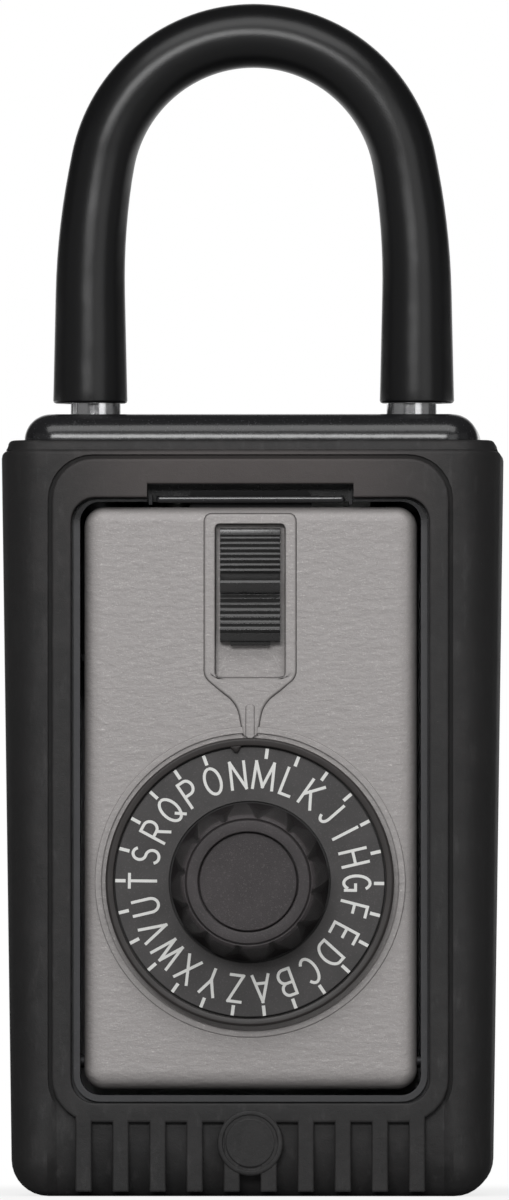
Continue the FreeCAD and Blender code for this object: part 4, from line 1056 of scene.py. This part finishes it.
def ring_mesh():
    """Raised ring round the dial with soft edges, turned about the Y axis."""
    s = bpy.context.scene.key_safe_door
    face = s.front - 0.3 * mm
    soft = 0.16 * mm
    inner, outer = s.ring_radius, s.ring_radius + s.ring_width
    profile = [
        (inner, s.front + 0.4 * mm, 0),
        (inner, face, soft),
        (outer, face, soft),
        (outer + 0.06 * mm, s.front - 0.02 * mm, 0),
        (outer + 0.06 * mm, s.front + 0.4 * mm, 0),
    ]
    line = rounded(profile, 4)
    # painted shade on the ring's sides
    grime = np.where(line[:, 1] > face + 0.1 * mm, 0.75, 0)
    points = revolve(line, 180, (0, dial_z))
    return mesh_of("door_ring", [Patch(points, close_rows=True, close_columns=True, flip=True, grime=grime)])


class MakeDoor(bpy.types.Operator):
    """Painted door with its shield and ring"""

    bl_idname = "key_safe.door"
    bl_label = "Door"

    def execute(self, context):
        skin = finish_for("door_paint", door_paint, context.scene.key_safe_door.paint)
        new_piece(door_mesh(), "door", skin, ("door_shell",), 35)
        new_piece(shield_mesh(), "door", skin, (), 50)
        new_piece(ring_mesh(), "door", skin, (), 50)
        return {"FINISHED"}


# Slider
def slider_mesh():
    """A side profile in (y, z), with a sawtooth of ribs over and under the ridge, carried across in x;
    the two ends close on its middle."""
    half = span("slider_button", 0)[1]
    back = slider_back_y
    face = back - 1.7 * mm
    top, low = slider_top_z, slider_low_z + 0.5 * mm
    middle = (top + low) / 2

    def ribs(first, count, pitch):
        """Ledges that face forward and up, each with a face that falls back to the next root."""
        z = first - np.repeat(np.arange(count), 4) * pitch - np.tile([-0.22, 0.16, 0.22, 0.70], count) * pitch
        y = face + np.tile([0.2, 0.02, 0.01, 0.26], count) * mm
        return np.stack([y, z], 1)

    ridge = rounded(
        [
            (face, top - 6.9 * mm, 0),
            (face - 0.9 * mm, top - 7.75 * mm, 0.3 * mm),
            (face - 1.08 * mm, top - 8.1 * mm, 0.05 * mm),
            (face - 1.02 * mm, top - 9.5 * mm, 0.12 * mm),
            (face + 0.25 * mm, top - 9.62 * mm, 0),
            (face + 0.25 * mm, top - 9.8 * mm, 0),
        ],
        3,
    )
    line = np.concatenate(
        [
            rounded([(back, top, 0), (face, top, 0.3 * mm), (face, top - 1.05 * mm, 0)], 4),
            ribs(top - 1.35 * mm, 7, 0.80 * mm),
            ridge,
            ribs(top - 10.2 * mm, 6, 0.93 * mm),
            rounded([(face, low + 1.35 * mm, 0), (face, low, 0.3 * mm), (back, low, 0)], 4),
        ]
    )
    x = np.array([-half, -half, -half + 0.06 * mm, half - 0.06 * mm, half, half])
    centre = np.array([(back + face) / 2, middle])
    shrink = np.array([0, 0.995, 1, 1, 0.995, 0])
    section = centre + (line - centre) * shrink[:, None, None]
    points = np.concatenate([np.broadcast_to(x[:, None, None], (*section.shape[:2], 1)), section], 2)
    lip = span("slider_button", 2)[0]
    lip_half = 2.95 * mm
    lip_line = rounded([(back, low + 0.6 * mm, 0), (face + 0.25 * mm, low + 0.6 * mm, 0), (face + 0.25 * mm, lip, 0.15 * mm), (back, lip, 0)], 3)
    lip_x = np.array([-lip_half, -lip_half, lip_half, lip_half])
    lip_centre = lip_line.mean(0)
    lip_section = lip_centre + (lip_line - lip_centre) * np.array([0, 1, 1, 0])[:, None, None]
    lip_points = np.concatenate([np.broadcast_to(lip_x[:, None, None], (*lip_section.shape[:2], 1)), lip_section], 2)
    return mesh_of(
        "slider_thumb", [Patch(points, close_columns=True, flip=True), Patch(lip_points, close_columns=True, flip=True)]
    )


class MakeSlider(bpy.types.Operator):
    """Ribbed thumb slider"""

    bl_idname = "key_safe.slider"
    bl_label = "Slider"

    def execute(self, context):
        skin = finish_for("slider_plastic", plastic, (0.017, 0.0165, 0.0165), 0.16, 0.006, 0.1, 0.6)
        new_piece(slider_mesh(), "slider", skin, ("slider_button",), 28, False)
        return {"FINISHED"}


# Dial
def cup_mesh():
    """Dial cup: a soft-edged rim profile in (radius, y) turned about the Y axis, and a tooth that points
    inwards from the rim."""
    s = bpy.context.scene.key_safe_dial
    outer, inner = s.radius, s.plate_radius + 0.25 * mm
    front, back = dial_front_y, dial_back_y
    profile = [
        (2.1 * mm, back, 0),
        (outer, back, 0.35 * mm),
        (outer, front + 0.1 * mm, 0.5 * mm),
        (outer - 0.35 * mm, front, 0.3 * mm),
        (inner, front + 0.05 * mm, 0.15 * mm),
        (inner, plate_y + 0.6 * mm, 0),
        (2.1 * mm, plate_y + 0.6 * mm, 0),
    ]
    line = rounded(profile, 4)
    # painted shade on the rim's inner wall: a dark gap ring round the plate
    gap = np.where((line[:, 0] < inner + 0.01 * mm) & (line[:, 0] > 3 * mm), 1.0, 0.0)
    ring = revolve(line, 180, (0, dial_z))
    angle = -math.radians(5.9)
    tooth = rounded([(0, 1, 0), (0.95, 1, 0.1), (0.2, 0, 0.12), (-0.2, 0, 0.12), (-0.95, 1, 0.1), (0, 1, 0)], 3)
    tooth = tooth[:-1] * mm + [0, s.plate_radius - 0.72 * mm]
    middle = np.array([0, s.plate_radius + 0.05 * mm])
    loops = []
    for scale, y in ((0, front - 0.06 * mm), (0.8, front - 0.06 * mm), (1, front + 0.1 * mm), (1, plate_y), (0, plate_y)):
        u, v = (middle + (tooth - middle) * scale).T
        x = u * math.cos(angle) + v * math.sin(angle)
        z = dial_z - u * math.sin(angle) + v * math.cos(angle)
        loops.append(np.stack([x, np.full(len(x), y), z], 1))
    # painted shade on the tooth's wall
    nib = Patch(np.array(loops), close_columns=True, grime=[0.2, 0.3, 0.9, 1, 1])
    return mesh_of(
        "dial_rim", [Patch(ring, close_rows=True, close_columns=True, grime=gap), nib]
    )


def plate_mesh():
    """Letter plate: a flat ring with softened edges, turned about the Y axis."""
    s = bpy.context.scene.key_safe_dial
    back = span("letter_plate", 1)[1]
    step = s.knob_radius + 0.32 * mm
    profile = [
        (10 * mm, back, 0),
        (s.plate_radius, back, 0),
        (s.plate_radius, plate_y, 0.12 * mm),
        (step, plate_y, 0.04 * mm),
        (step - 0.04 * mm, plate_y + 0.4 * mm, 0),
        (10 * mm, plate_y + 0.4 * mm, 0),
    ]
    line = rounded(profile, 3)
    # painted shade on the step round the knob: a dark ring at its foot
    grime = np.where((line[:, 0] < step + 0.01 * mm) & (line[:, 1] < back), 1.0, 0.0)
    plate = Patch(revolve(line, 180, (0, dial_z)), close_rows=True, close_columns=True, grime=grime)
    return mesh_of("dial_plate", [plate])


def bow(u, v, across, high, first, last, count=14):
    """Points of an ellipse's arc about (u, v), from one angle to another in degrees."""
    turn = np.radians(np.linspace(first, last, count))
    return np.stack([u + across * np.cos(turn), v + high * np.sin(turn)], 1).tolist()


def alphabet():
    """Each letter's width over its height, and the middle lines of its strokes: u from -1 at the left to 1
    at the right, v from 0 at the foot to 1 at the top."""
    stem = [(-1, 0), (-1, 1)]
    bowl = [(-1, 1), (0.05, 1)] + bow(0.05, 0.73, 0.95, 0.27, 90, -90) + [(-1, 0.46)]
    shut = bow(0, 0.5, 1, 0.5, 90, 450, 28)
    return {
        "A": (0.64, [(-1, 0), (0, 1)], [(1, 0), (0, 1)], [(-0.62, 0.3), (0.62, 0.3)]),
        "B": (
            0.54,
            stem,
            [(-1, 1), (0, 1)] + bow(0, 0.765, 0.88, 0.235, 90, -90) + [(-1, 0.53)],
            [(-1, 0.53), (0, 0.53)] + bow(0, 0.265, 1, 0.265, 90, -90) + [(-1, 0)],
        ),
        "C": (0.58, bow(0, 0.5, 1, 0.5, 42, 318, 24)),
        "D": (0.58, stem, [(-1, 1), (-0.2, 1)] + bow(-0.2, 0.5, 1.2, 0.5, 90, -90, 20) + [(-1, 0)]),
        "E": (0.47, stem, [(-1, 1), (1, 1)], [(-1, 0.52), (0.75, 0.52)], [(-1, 0), (1, 0)]),
        "F": (0.45, stem, [(-1, 1), (1, 1)], [(-1, 0.5), (0.7, 0.5)]),
        "G": (0.60, bow(0, 0.5, 1, 0.5, 42, 318, 24), [(0.2, 0.45), (1, 0.45)], [(0.98, 0.45), (0.98, 0.06)]),
        "H": (0.58, stem, [(1, 0), (1, 1)], [(-1, 0.5), (1, 0.5)]),
        "I": (0.13, [(0, 0), (0, 1)]),
        "J": (0.40, [(1, 1), (1, 0.3)] + bow(0, 0.27, 1, 0.27, 0, -160)),
        "K": (0.58, stem, [(-0.95, 0.36), (0.95, 1)], [(-0.35, 0.58), (1, 0)]),
        "L": (0.45, stem, [(-1, 0), (1, 0)]),
        "M": (0.76, [(-1, 0), (-0.93, 1)], [(-0.93, 1), (0, 0.08)], [(0.93, 1), (0, 0.08)], [(1, 0), (0.93, 1)]),
        "N": (0.58, stem, [(-1, 1), (1, 0)], [(1, 0), (1, 1)]),
        "O": (0.63, shut),
        "P": (0.53, stem, bowl),
        "Q": (0.63, shut, [(0.2, 0.26), (0.95, -0.02)]),
        "R": (0.55, stem, bowl, [(0.05, 0.46), (0.95, 0)]),
        "S": (0.54, bow(0, 0.755, 0.9, 0.245, 28, 270, 20) + bow(0, 0.255, 1, 0.255, 90, -155, 20)[1:]),
        "T": (0.55, [(-1, 1), (1, 1)], [(0, 1), (0, 0)]),
        "U": (0.57, [(-1, 1), (-1, 0.32)] + bow(0, 0.3, 1, 0.3, 180, 360, 18) + [(1, 1)]),
        "V": (0.62, [(-1, 1), (0, 0)], [(1, 1), (0, 0)]),
        "W": (0.86, [(-1, 1), (-0.5, 0)], [(-0.5, 0), (0, 0.95)], [(0, 0.95), (0.5, 0)], [(0.5, 0), (1, 1)]),
        "X": (0.62, [(-0.95, 0), (0.95, 1)], [(-0.95, 1), (0.95, 0)]),
        "Y": (0.60, [(-1, 1), (0, 0.42)], [(1, 1), (0, 0.42)], [(0, 0.42), (0, 0)]),
        "Z": (0.53, [(-1, 1), (1, 1)], [(1, 1), (-1, 0)], [(-1, 0), (1, 0)]),
    }


def stroke(line, half):
    """Two rows, left and right of a line, at half the stroke's width along its mean normals; straight
    strokes run on by the same half width at both ends."""
    line = np.asarray(line, float)
    way = np.diff(line, axis=0)
    way /= np.linalg.norm(way, axis=1)[:, None]
    mean = np.concatenate([way[:1], way[:-1] + way[1:], way[-1:]])
    mean /= np.linalg.norm(mean, axis=1)[:, None]
    reach = half / np.clip(np.sum(mean[:-1] * way, 1), 0.6, 1)
    reach = np.append(reach, half)
    if len(line) == 2 or np.allclose(way[0], way[1]):
        line[0] -= way[0] * half * 0.9
    if len(line) == 2 or np.allclose(way[-1], way[-2]):
        line[-1] += way[-1] * half * 0.9
    side = np.stack([-mean[:, 1], mean[:, 0]], 1) * reach[:, None]
    return np.stack([line + side, line - side])


def scale_mesh():
    """Printed ticks and letters: each stroke is turned round the dial by its letter's angle, with the
    letter's top outwards, and laid just over the plate, a hair nearer than the stroke before."""
    s = bpy.context.scene.key_safe_dial
    shapes = alphabet()
    pitch = 2 * math.pi / len(shapes)
    first = math.radians(173.7)
    half = 0.05 * s.letter_height
    patches = []

    def add(flat, angle, layer):
        u, v = flat[..., 0], flat[..., 1]
        x = u * math.cos(angle) + v * math.sin(angle)
        z = dial_z - u * math.sin(angle) + v * math.cos(angle)
        y = np.full(u.shape, plate_y - (0.004 + 0.003 * layer) * mm)
        patches.append(Patch(np.stack([x, y, z], -1), flip=True))

    tick = np.array([[[0, s.tick_inner], [0, s.tick_outer]]] * 2) + [[[-1, 0]], [[1, 0]]] * np.array([s.tick_width / 2, 1])
    for number, (letter, (width, *lines)) in enumerate(sorted(shapes.items())):
        angle = first - number * pitch
        reach = max(width * s.letter_height / 2 - half, 0)
        for layer, line in enumerate(lines):
            line = np.asarray(line, float) * [reach, s.letter_height - 2 * half] + [0, s.letter_inner + half]
            add(stroke(line, half), angle, layer)
        if letter != "N":
            add(tick[::-1], angle, 0)
    return mesh_of("dial_scale", patches)


def knob_mesh():
    """Rows follow the knob's profile from its foot over the flank, the upper edge and the rim into the
    recess; columns go round in groups, one flute and one land each, and the flute narrows and gets
    shallower from the foot to the upper edge."""
    s = bpy.context.scene.key_safe_dial
    foot, flank_low, flank_high = plate_y + 0.35 * mm, plate_y - 1.2 * mm, knob_front_y + 0.5 * mm
    rim, recess = 9.45 * mm, 7.45 * mm
    corners = [
        (s.knob_radius, foot, 0),
        (s.knob_radius, flank_low, 0.5 * mm),
        (s.knob_top_radius, flank_high, 0.3 * mm),
        (rim, knob_front_y + 0.08 * mm, 0.15 * mm),
        (9.25 * mm, knob_front_y + 0.34 * mm, 0.04 * mm),
        (9.05 * mm, knob_front_y, 0.12 * mm),
        (recess, knob_front_y, 0.15 * mm),
        (recess, cap_y + 0.8 * mm, 0),
    ]
    line = rounded(corners, 4)
    line = np.concatenate([[line[0]], spaced(line[1:11], 18), line[11:]])
    drop = np.clip((flank_low - line[:, 1]) / (flank_low - flank_high), 0, None)
    fade = np.clip((line[:, 0] - rim) / (s.knob_top_radius - rim), 0, 1)
    share = np.clip(drop, 0, 1)
    depth = (0.95 * (1 - share) + 0.6 * share) * mm * fade * np.clip((foot - line[:, 1]) / (0.9 * mm), 0, 1)
    pitch = 2 * math.pi / s.knob_flutes
    width = pitch * (0.36 * (1 - share) + 0.12 * share)
    inside = np.array([-1, -0.7, -0.35, 0, 0.35, 0.7])
    land = np.linspace(0, 1, 6)[:-1]
    flute_turn = width[:, None] * inside
    land_turn = width[:, None] + (pitch - 2 * width[:, None]) * land
    group = np.concatenate([flute_turn, land_turn], 1)
    cut = np.concatenate([(1 - np.abs(inside)) ** 0.8, np.zeros(len(land))])
    turn = (np.arange(s.knob_flutes) * pitch)[None, :, None] + group[:, None, :]
    turn = turn.reshape(len(line), -1) + math.radians(8.7)
    cuts = np.tile(cut, s.knob_flutes)
    radius = line[:, :1] - depth[:, None] * cuts
    x = radius * np.sin(turn)
    z = dial_z + radius * np.cos(turn)
    y = np.broadcast_to(line[:, 1:2], x.shape)
    skin = np.stack([x, y, z], 2)
    middle = np.broadcast_to(np.array([0, foot, dial_z]), (1, *skin.shape[1:]))
    bottom = np.broadcast_to(np.array([0, cap_y + 0.8 * mm, dial_z]), (1, *skin.shape[1:]))
    # painted shade: in the flutes by their depth, over the flank, which faces away from the light, and in the groove by
    # the rim
    flank = np.clip((line[:, 0] - s.knob_top_radius) / (0.3 * mm), 0, 1)[:, None]
    groove = (np.abs(line[:, 0] - 9.25 * mm) < 0.1 * mm)[:, None] * 0.9
    knob_shade = np.clip(depth / mm, 0, 1)[:, None] * cuts * 0.7 + flank * 0.95 + groove
    grime = np.clip(np.concatenate([knob_shade[:1], knob_shade, knob_shade[-1:] * 0]), 0, 1)
    return mesh_of("knob_body", [Patch(np.concatenate([middle, skin, bottom]), close_columns=True, grime=grime)])


def cap_mesh():
    """Plain cap in the knob's recess, turned about the Y axis."""
    radius = 7.25 * mm
    profile = [
        (0, cap_y, 0),
        (radius, cap_y, 0.2 * mm),
        (radius, cap_y + 0.7 * mm, 0),
        (0, cap_y + 0.7 * mm, 0),
    ]
    return mesh_of("knob_cap_disc", [Patch(revolve(rounded(profile, 3), 120, (0, dial_z)), close_columns=True, flip=True)])


class MakeDial(bpy.types.Operator):
    """Dial with its rim, letter plate, scale, knob and cap"""

    bl_idname = "key_safe.dial"
    bl_label = "Dial"

    def execute(self, context):
        s = context.scene.key_safe_dial
        rim = finish_for("dial_plastic", plastic, s.plastic, 0.34, 0.015, 0.1)
        plate = finish_for("letter_plate", plastic, s.plate, 0.5, 0.03, 0.22)
        knob = finish_for("knob_plastic", plastic, s.knob, 0.44, 0.07, 0.35)
        cap = finish_for("cap_plastic", plastic, s.knob, 0.5, 0.09, 0.45)
        paint = finish_for("letter_paint", print_paint, s.letters)
        new_piece(cup_mesh(), "dial", rim, ("dial_cup",), 50)
        new_piece(plate_mesh(), "dial", plate, ("letter_plate",), 50)
        scale = new_piece(scale_mesh(), "dial", paint, (), 0, False)
        film = scale.modifiers.new("film", "SOLIDIFY")
        film.thickness = 0.012 * mm
        film.offset = 1
        new_piece(knob_mesh(), "dial", knob, ("knob",), 24, False)
        new_piece(cap_mesh(), "dial", cap, ("knob_cap",), 50)
        return {"FINISHED"}


# Shackle
def sleeve_mesh():
    """A circle carried along the shackle's line: straight leg, gentle sweep, arch and back. The tube is
    thickest at its ends, and its skin turns in over the end faces and back through its bore."""
    s = bpy.context.scene.key_safe_shackle
    sweep = math.pi / 2 - s.arch_angle
    top = span("shackle_sleeve", 2)[1] - s.radius_arch - s.arch_radius
    end_x = s.arch_radius * math.sin(s.arch_angle) + s.sweep_radius * (1 - math.cos(sweep))
    sweep_low = top + s.arch_radius * math.cos(s.arch_angle) - s.sweep_radius * math.sin(sweep)
    low = case_top_z + s.stand
    straight_z = np.linspace(low, sweep_low, 9)[:-1]
    legs = np.stack([np.full(8, end_x), straight_z, np.zeros(8)], 1)
    bend = np.linspace(0, sweep, 9)[:-1]
    bends = np.stack([end_x - s.sweep_radius * (1 - np.cos(bend)), sweep_low + s.sweep_radius * np.sin(bend), bend], 1)
    arch = np.linspace(sweep, math.pi / 2, 33)
    arches = np.stack([s.arch_radius * np.cos(arch), top + s.arch_radius * np.sin(arch), arch], 1)
    right = np.concatenate([legs, bends, arches])
    left = right[-2::-1] * [-1, 1, -1] + [0, 0, math.pi]
    line = np.concatenate([right, left])
    share = np.clip((top + 3 * mm - line[:, 1]) / (top + 3 * mm - low), 0, 1)
    radius = s.radius_arch + (s.radius_end - s.radius_arch) * share
    bore = s.bar_radius + 0.02 * mm
    soft = 0.4 * mm
    ends = np.array([[bore, soft * 0.1], [-soft, 0], [-soft * 0.3, soft * 0.25], [0, soft]])
    head_radius = np.array([bore, radius[0] - soft, radius[0] - 0.3 * soft])
    head_along = np.array([0, 0, 0.3 * soft])
    line_first = line[:1] + np.stack([np.zeros(3), head_along, np.zeros(3)], 1)
    line_last = line[-1:] + np.stack([np.zeros(3), head_along[::-1], np.zeros(3)], 1)
    body = line.copy()
    body[0, 1] += soft
    body[-1, 1] += soft
    inner = line[::-1]
    path = np.concatenate([line_first, body, line_last, inner[1:-1]])
    radii = np.concatenate([head_radius, radius, head_radius[::-1], np.full(len(inner) - 2, bore)])
    turn = np.arange(64) / 64 * 2 * math.pi
    out_x = np.cos(path[:, 2:3])
    out_z = np.sin(path[:, 2:3])
    x = path[:, :1] + radii[:, None] * np.cos(turn) * out_x
    z = path[:, 1:2] + radii[:, None] * np.cos(turn) * out_z
    y = shackle_y + radii[:, None] * np.sin(turn)
    points = np.stack([x, y, z], 2)
    return mesh_of("shackle_cover", [Patch(points, close_rows=True, close_columns=True, flip=True)])


class MakeShackle(bpy.types.Operator):
    """Steel shackle with its vinyl sleeve"""

    bl_idname = "key_safe.shackle"
    bl_label = "Shackle"

    def execute(self, context):
        s = context.scene.key_safe_shackle
        skin = finish_for("sleeve_vinyl", vinyl, s.vinyl)
        new_piece(sleeve_mesh(), "shackle", skin, ("shackle_sleeve",), 60)
        maker, values = inner_finishes["shackle_steel"]
        steel = finish_for("shackle_steel", maker, *values)
        smooth_copy("shackle_bar", "shackle_steel_bar", "shackle", steel)
        return {"FINISHED"}


# Inner parts
inner_finishes = {
    "zinc": (cast_zinc, ((0.42, 0.42, 0.43),)),
    "zinc_sheet": (metal, ((0.60, 0.60, 0.59), 0.30, (1, 1, 0.08), 0.3)),
    "screw_steel": (metal, ((0.58, 0.57, 0.55), 0.24, (1, 0.2, 1), 0.25)),
    "spring_steel": (metal, ((0.40, 0.40, 0.42), 0.26)),
    # The release spring and the hinge pin are near black: painted shade, so that they show no glint through the gaps
    # round the door. The bolt plate is near black too, so that the notch behind the latch bar shows dark.
    "release_spring": (metal, ((0.030, 0.030, 0.032), 0.42)),
    "bolt_plate": (plastic, ((0.006, 0.006, 0.0065), 0.55, 0.02, 0.1, 0.2)),
    "hinge_pin": (metal, ((0.040, 0.040, 0.042), 0.42, (0.2, 1, 1), 0.3)),
    "nylon": (plastic, ((0.72, 0.71, 0.66), 0.42, 0.02, 0.05)),
    "wheel_brass": (metal, ((0.72, 0.52, 0.22), 0.26, (1, 0.2, 1), 0.35)),
    # the shackle steel is painted nearly black below 105 mm, as shade inside the case
    "shackle_steel": (metal, ((0.74, 0.74, 0.75), 0.07, (1, 1, 0.12), 0.06, 0.002, 105 * mm)),
}


class MakeInnerParts(bpy.types.Operator):
    """Finishes of the lock's inner pieces, plates, screws and springs"""

    bl_idname = "key_safe.inner_parts"
    bl_label = "Inner parts"

    def execute(self, context):
        slots = {part["node"]: part["material_slot"] for part in frame["record"]["subparts"]}
        bodies = {node: body for body, nodes in frame["record"]["behaviour"]["bodies"].items() for node in nodes}
        for node, place in frame["nodes"].items():
            slot = slots[node]
            kind = node if node in inner_finishes else slot
            if place.hide_render or kind not in inner_finishes:
                continue
            maker, values = inner_finishes[kind]
            skin = finish_for(kind, maker, *values)
            smooth_copy(node, node + "_finished", bodies[node], skin)
        return {"FINISHED"}


# Stage
def softbox(name, azimuth, elevation, distance, width, height, strength):
    """A soft rectangular lamp that faces the dial's middle from an azimuth and an elevation in degrees.
    Its strength is the brightness of its face, where 1 is white: power over pi times its area."""
    data = bpy.data.lights.new(name, "AREA")
    data.shape = "RECTANGLE"
    data.size, data.size_y = width, height
    data.energy = strength * math.pi * width * height
    light = bpy.data.objects.new(name, data)
    bpy.context.scene.collection.objects.link(light)
    turn, lift = math.radians(azimuth), math.radians(elevation)
    light.location = (
        distance * math.sin(turn) * math.cos(lift),
        -distance * math.cos(turn) * math.cos(lift),
        dial_z + distance * math.sin(lift),
    )
    light.rotation_euler = (math.pi / 2 - lift, 0, turn)
    light.visible_camera = False
    return light


def white_surroundings(name):
    """A room that is white to the camera and, behind the object, to mirrors and glass, and dim elsewhere."""
    world = bpy.data.worlds.new(name)
    world.use_nodes = True
    room = Nodes(world.node_tree)
    rays = room.node("ShaderNodeLightPath", {}, {})
    x, y, z = room.parts(room.node("ShaderNodeTexCoord", {}, {})["Generated"])
    mirror = rays["Is Glossy Ray"] + rays["Is Transmission Ray"]
    white = rays["Is Camera Ray"] + mirror * room.step(y, 0.8, 0.98)
    dim = 0.22 - mirror * 0.18
    sky = room.node("ShaderNodeBackground", {}, {"Color": (1, 1, 1, 1), "Strength": white + (1 - white) * dim})
    room.node("ShaderNodeOutputWorld", {}, {"Surface": sky["Background"]})
    return world


def pale_floor(name):
    """Matt pale floor that keeps the shadow, and is white itself to the camera and mirrors away from the
    object: emission takes over along the distance from the Z axis."""
    material = bpy.data.materials.new(name)
    material.use_nodes = True
    floor = Nodes(material.node_tree)
    rays = floor.node("ShaderNodeLightPath", {}, {})
    place = floor.node("ShaderNodeTexCoord", {}, {})["Object"]
    x, y, z = floor.parts(place)
    seen = rays["Is Camera Ray"] + rays["Is Transmission Ray"] + rays["Is Glossy Ray"] * floor.step(y, 0.1, 0.4)
    away = floor.step((x * x + y * y) ** 0.5, 0.05, 0.13)
    grain = floor.noise(0.004, 3)
    paint = floor.blend(rays["Is Camera Ray"], (0.3, 0.3, 0.3), (0.94, 0.94, 0.94))
    matt = floor.node("ShaderNodeBsdfDiffuse", {}, {"Color": floor.blend(grain * 0.03, paint, (0.7, 0.7, 0.7))})
    white = floor.node("ShaderNodeEmission", {}, {"Color": (1, 1, 1, 1), "Strength": 1.0})
    cover = floor.node("ShaderNodeMixShader", {}, {0: seen * (0.8 + away * 0.2), 1: matt[0], 2: white[0]})
    floor.node("ShaderNodeOutputMaterial", {}, {"Surface": cover[0]})
    return material


class MakeStage(bpy.types.Operator):
    """Floor, lamps, white surroundings and camera"""

    bl_idname = "key_safe.stage"
    bl_label = "Stage"

    def execute(self, context):
        s = context.scene.key_safe_stage
        scene = context.scene
        scene.view_settings.view_transform = "Standard"
        scene.world = white_surroundings("white room")
        softbox("front softbox", -8, 20.5, 1.1, 0.55, 0.24, 11.6 * s.light)
        softbox("high softbox", 0, 56, 1.0, 1.2, 0.48, 2.6 * s.light)
        softbox("right strip", 31, 10, 1.1, 0.62, 0.72, 1.15 * s.light)
        softbox("left card", -62, 8, 1.1, 1.1, 0.8, 0.15 * s.light)
        softbox("right card", 72, 8, 1.1, 0.6, 0.8, 0.15 * s.light)
        floor_mesh = mesh_of("floor", [Patch(np.array([[[-3, -3, 0], [3, -3, 0]], [[-3, 3, 0], [3, 3, 0]]]))])
        floor_mesh.materials.append(pale_floor("floor_paint"))
        floor = bpy.data.objects.new("floor", floor_mesh)
        scene.collection.objects.link(floor)
        data = bpy.data.cameras.new("camera")
        camera = bpy.data.objects.new("camera", data)
        scene.collection.objects.link(camera)
        photo_width, photo_height = 509, 1200
        middle_column, foot_row = 252.3, 1195.5
        frame_height = photo_height * s.pixel
        data.sensor_width = 36
        data.lens = data.sensor_width * s.distance / frame_height
        data.shift_x = (photo_width / 2 - middle_column) * s.pixel / frame_height
        data.shift_y = ((foot_row - photo_height / 2) * s.pixel - s.height) / frame_height
        data.clip_start = 0.05
        camera.location = (s.distance * math.sin(s.azimuth), -s.distance * math.cos(s.azimuth), s.height)
        camera.rotation_euler = (math.pi / 2, 0, s.azimuth)
        scene.camera = camera
        return {"FINISHED"}


class KeySafePanel(bpy.types.Panel):
    """Buttons that build the key safe, in order"""

    bl_idname = "VIEW3D_PT_key_safe"
    bl_label = "Key safe"
    bl_space_type = "VIEW_3D"
    bl_region_type = "UI"
    bl_category = "Key safe"

    def draw(self, context):
        for operator in operators:
            self.layout.operator(operator.bl_idname)
        for name in settings:
            group = getattr(context.scene, name)
            box = self.layout.box()
            for key in group.__annotations__:
                box.prop(group, key)


operators = (
    MakeBoot,
    MakeCase,
    MakeDoor,
    MakeSlider,
    MakeDial,
    MakeShackle,
    MakeInnerParts,
    MakeStage,
)
settings = {
    "key_safe_boot": BootSizes,
    "key_safe_door": DoorSizes,
    "key_safe_dial": DialSizes,
    "key_safe_shackle": ShackleSizes,
    "key_safe_stage": StageSizes,
}
classes = (*settings.values(), *operators, KeySafePanel)


def register():
    for each in classes:
        bpy.utils.register_class(each)
    for name, group in settings.items():
        setattr(bpy.types.Scene, name, PointerProperty(type=group))


def unregister():
    for name in settings:
        delattr(bpy.types.Scene, name)
    for each in reversed(classes):
        bpy.utils.unregister_class(each)


def main():
    register()
    bpy.ops.key_safe.boot()
    bpy.ops.key_safe.case()
    bpy.ops.key_safe.door()
    bpy.ops.key_safe.slider()
    bpy.ops.key_safe.dial()
    bpy.ops.key_safe.shackle()
    bpy.ops.key_safe.inner_parts()
    bpy.ops.key_safe.stage()


if __name__ == "__main__":
    main()
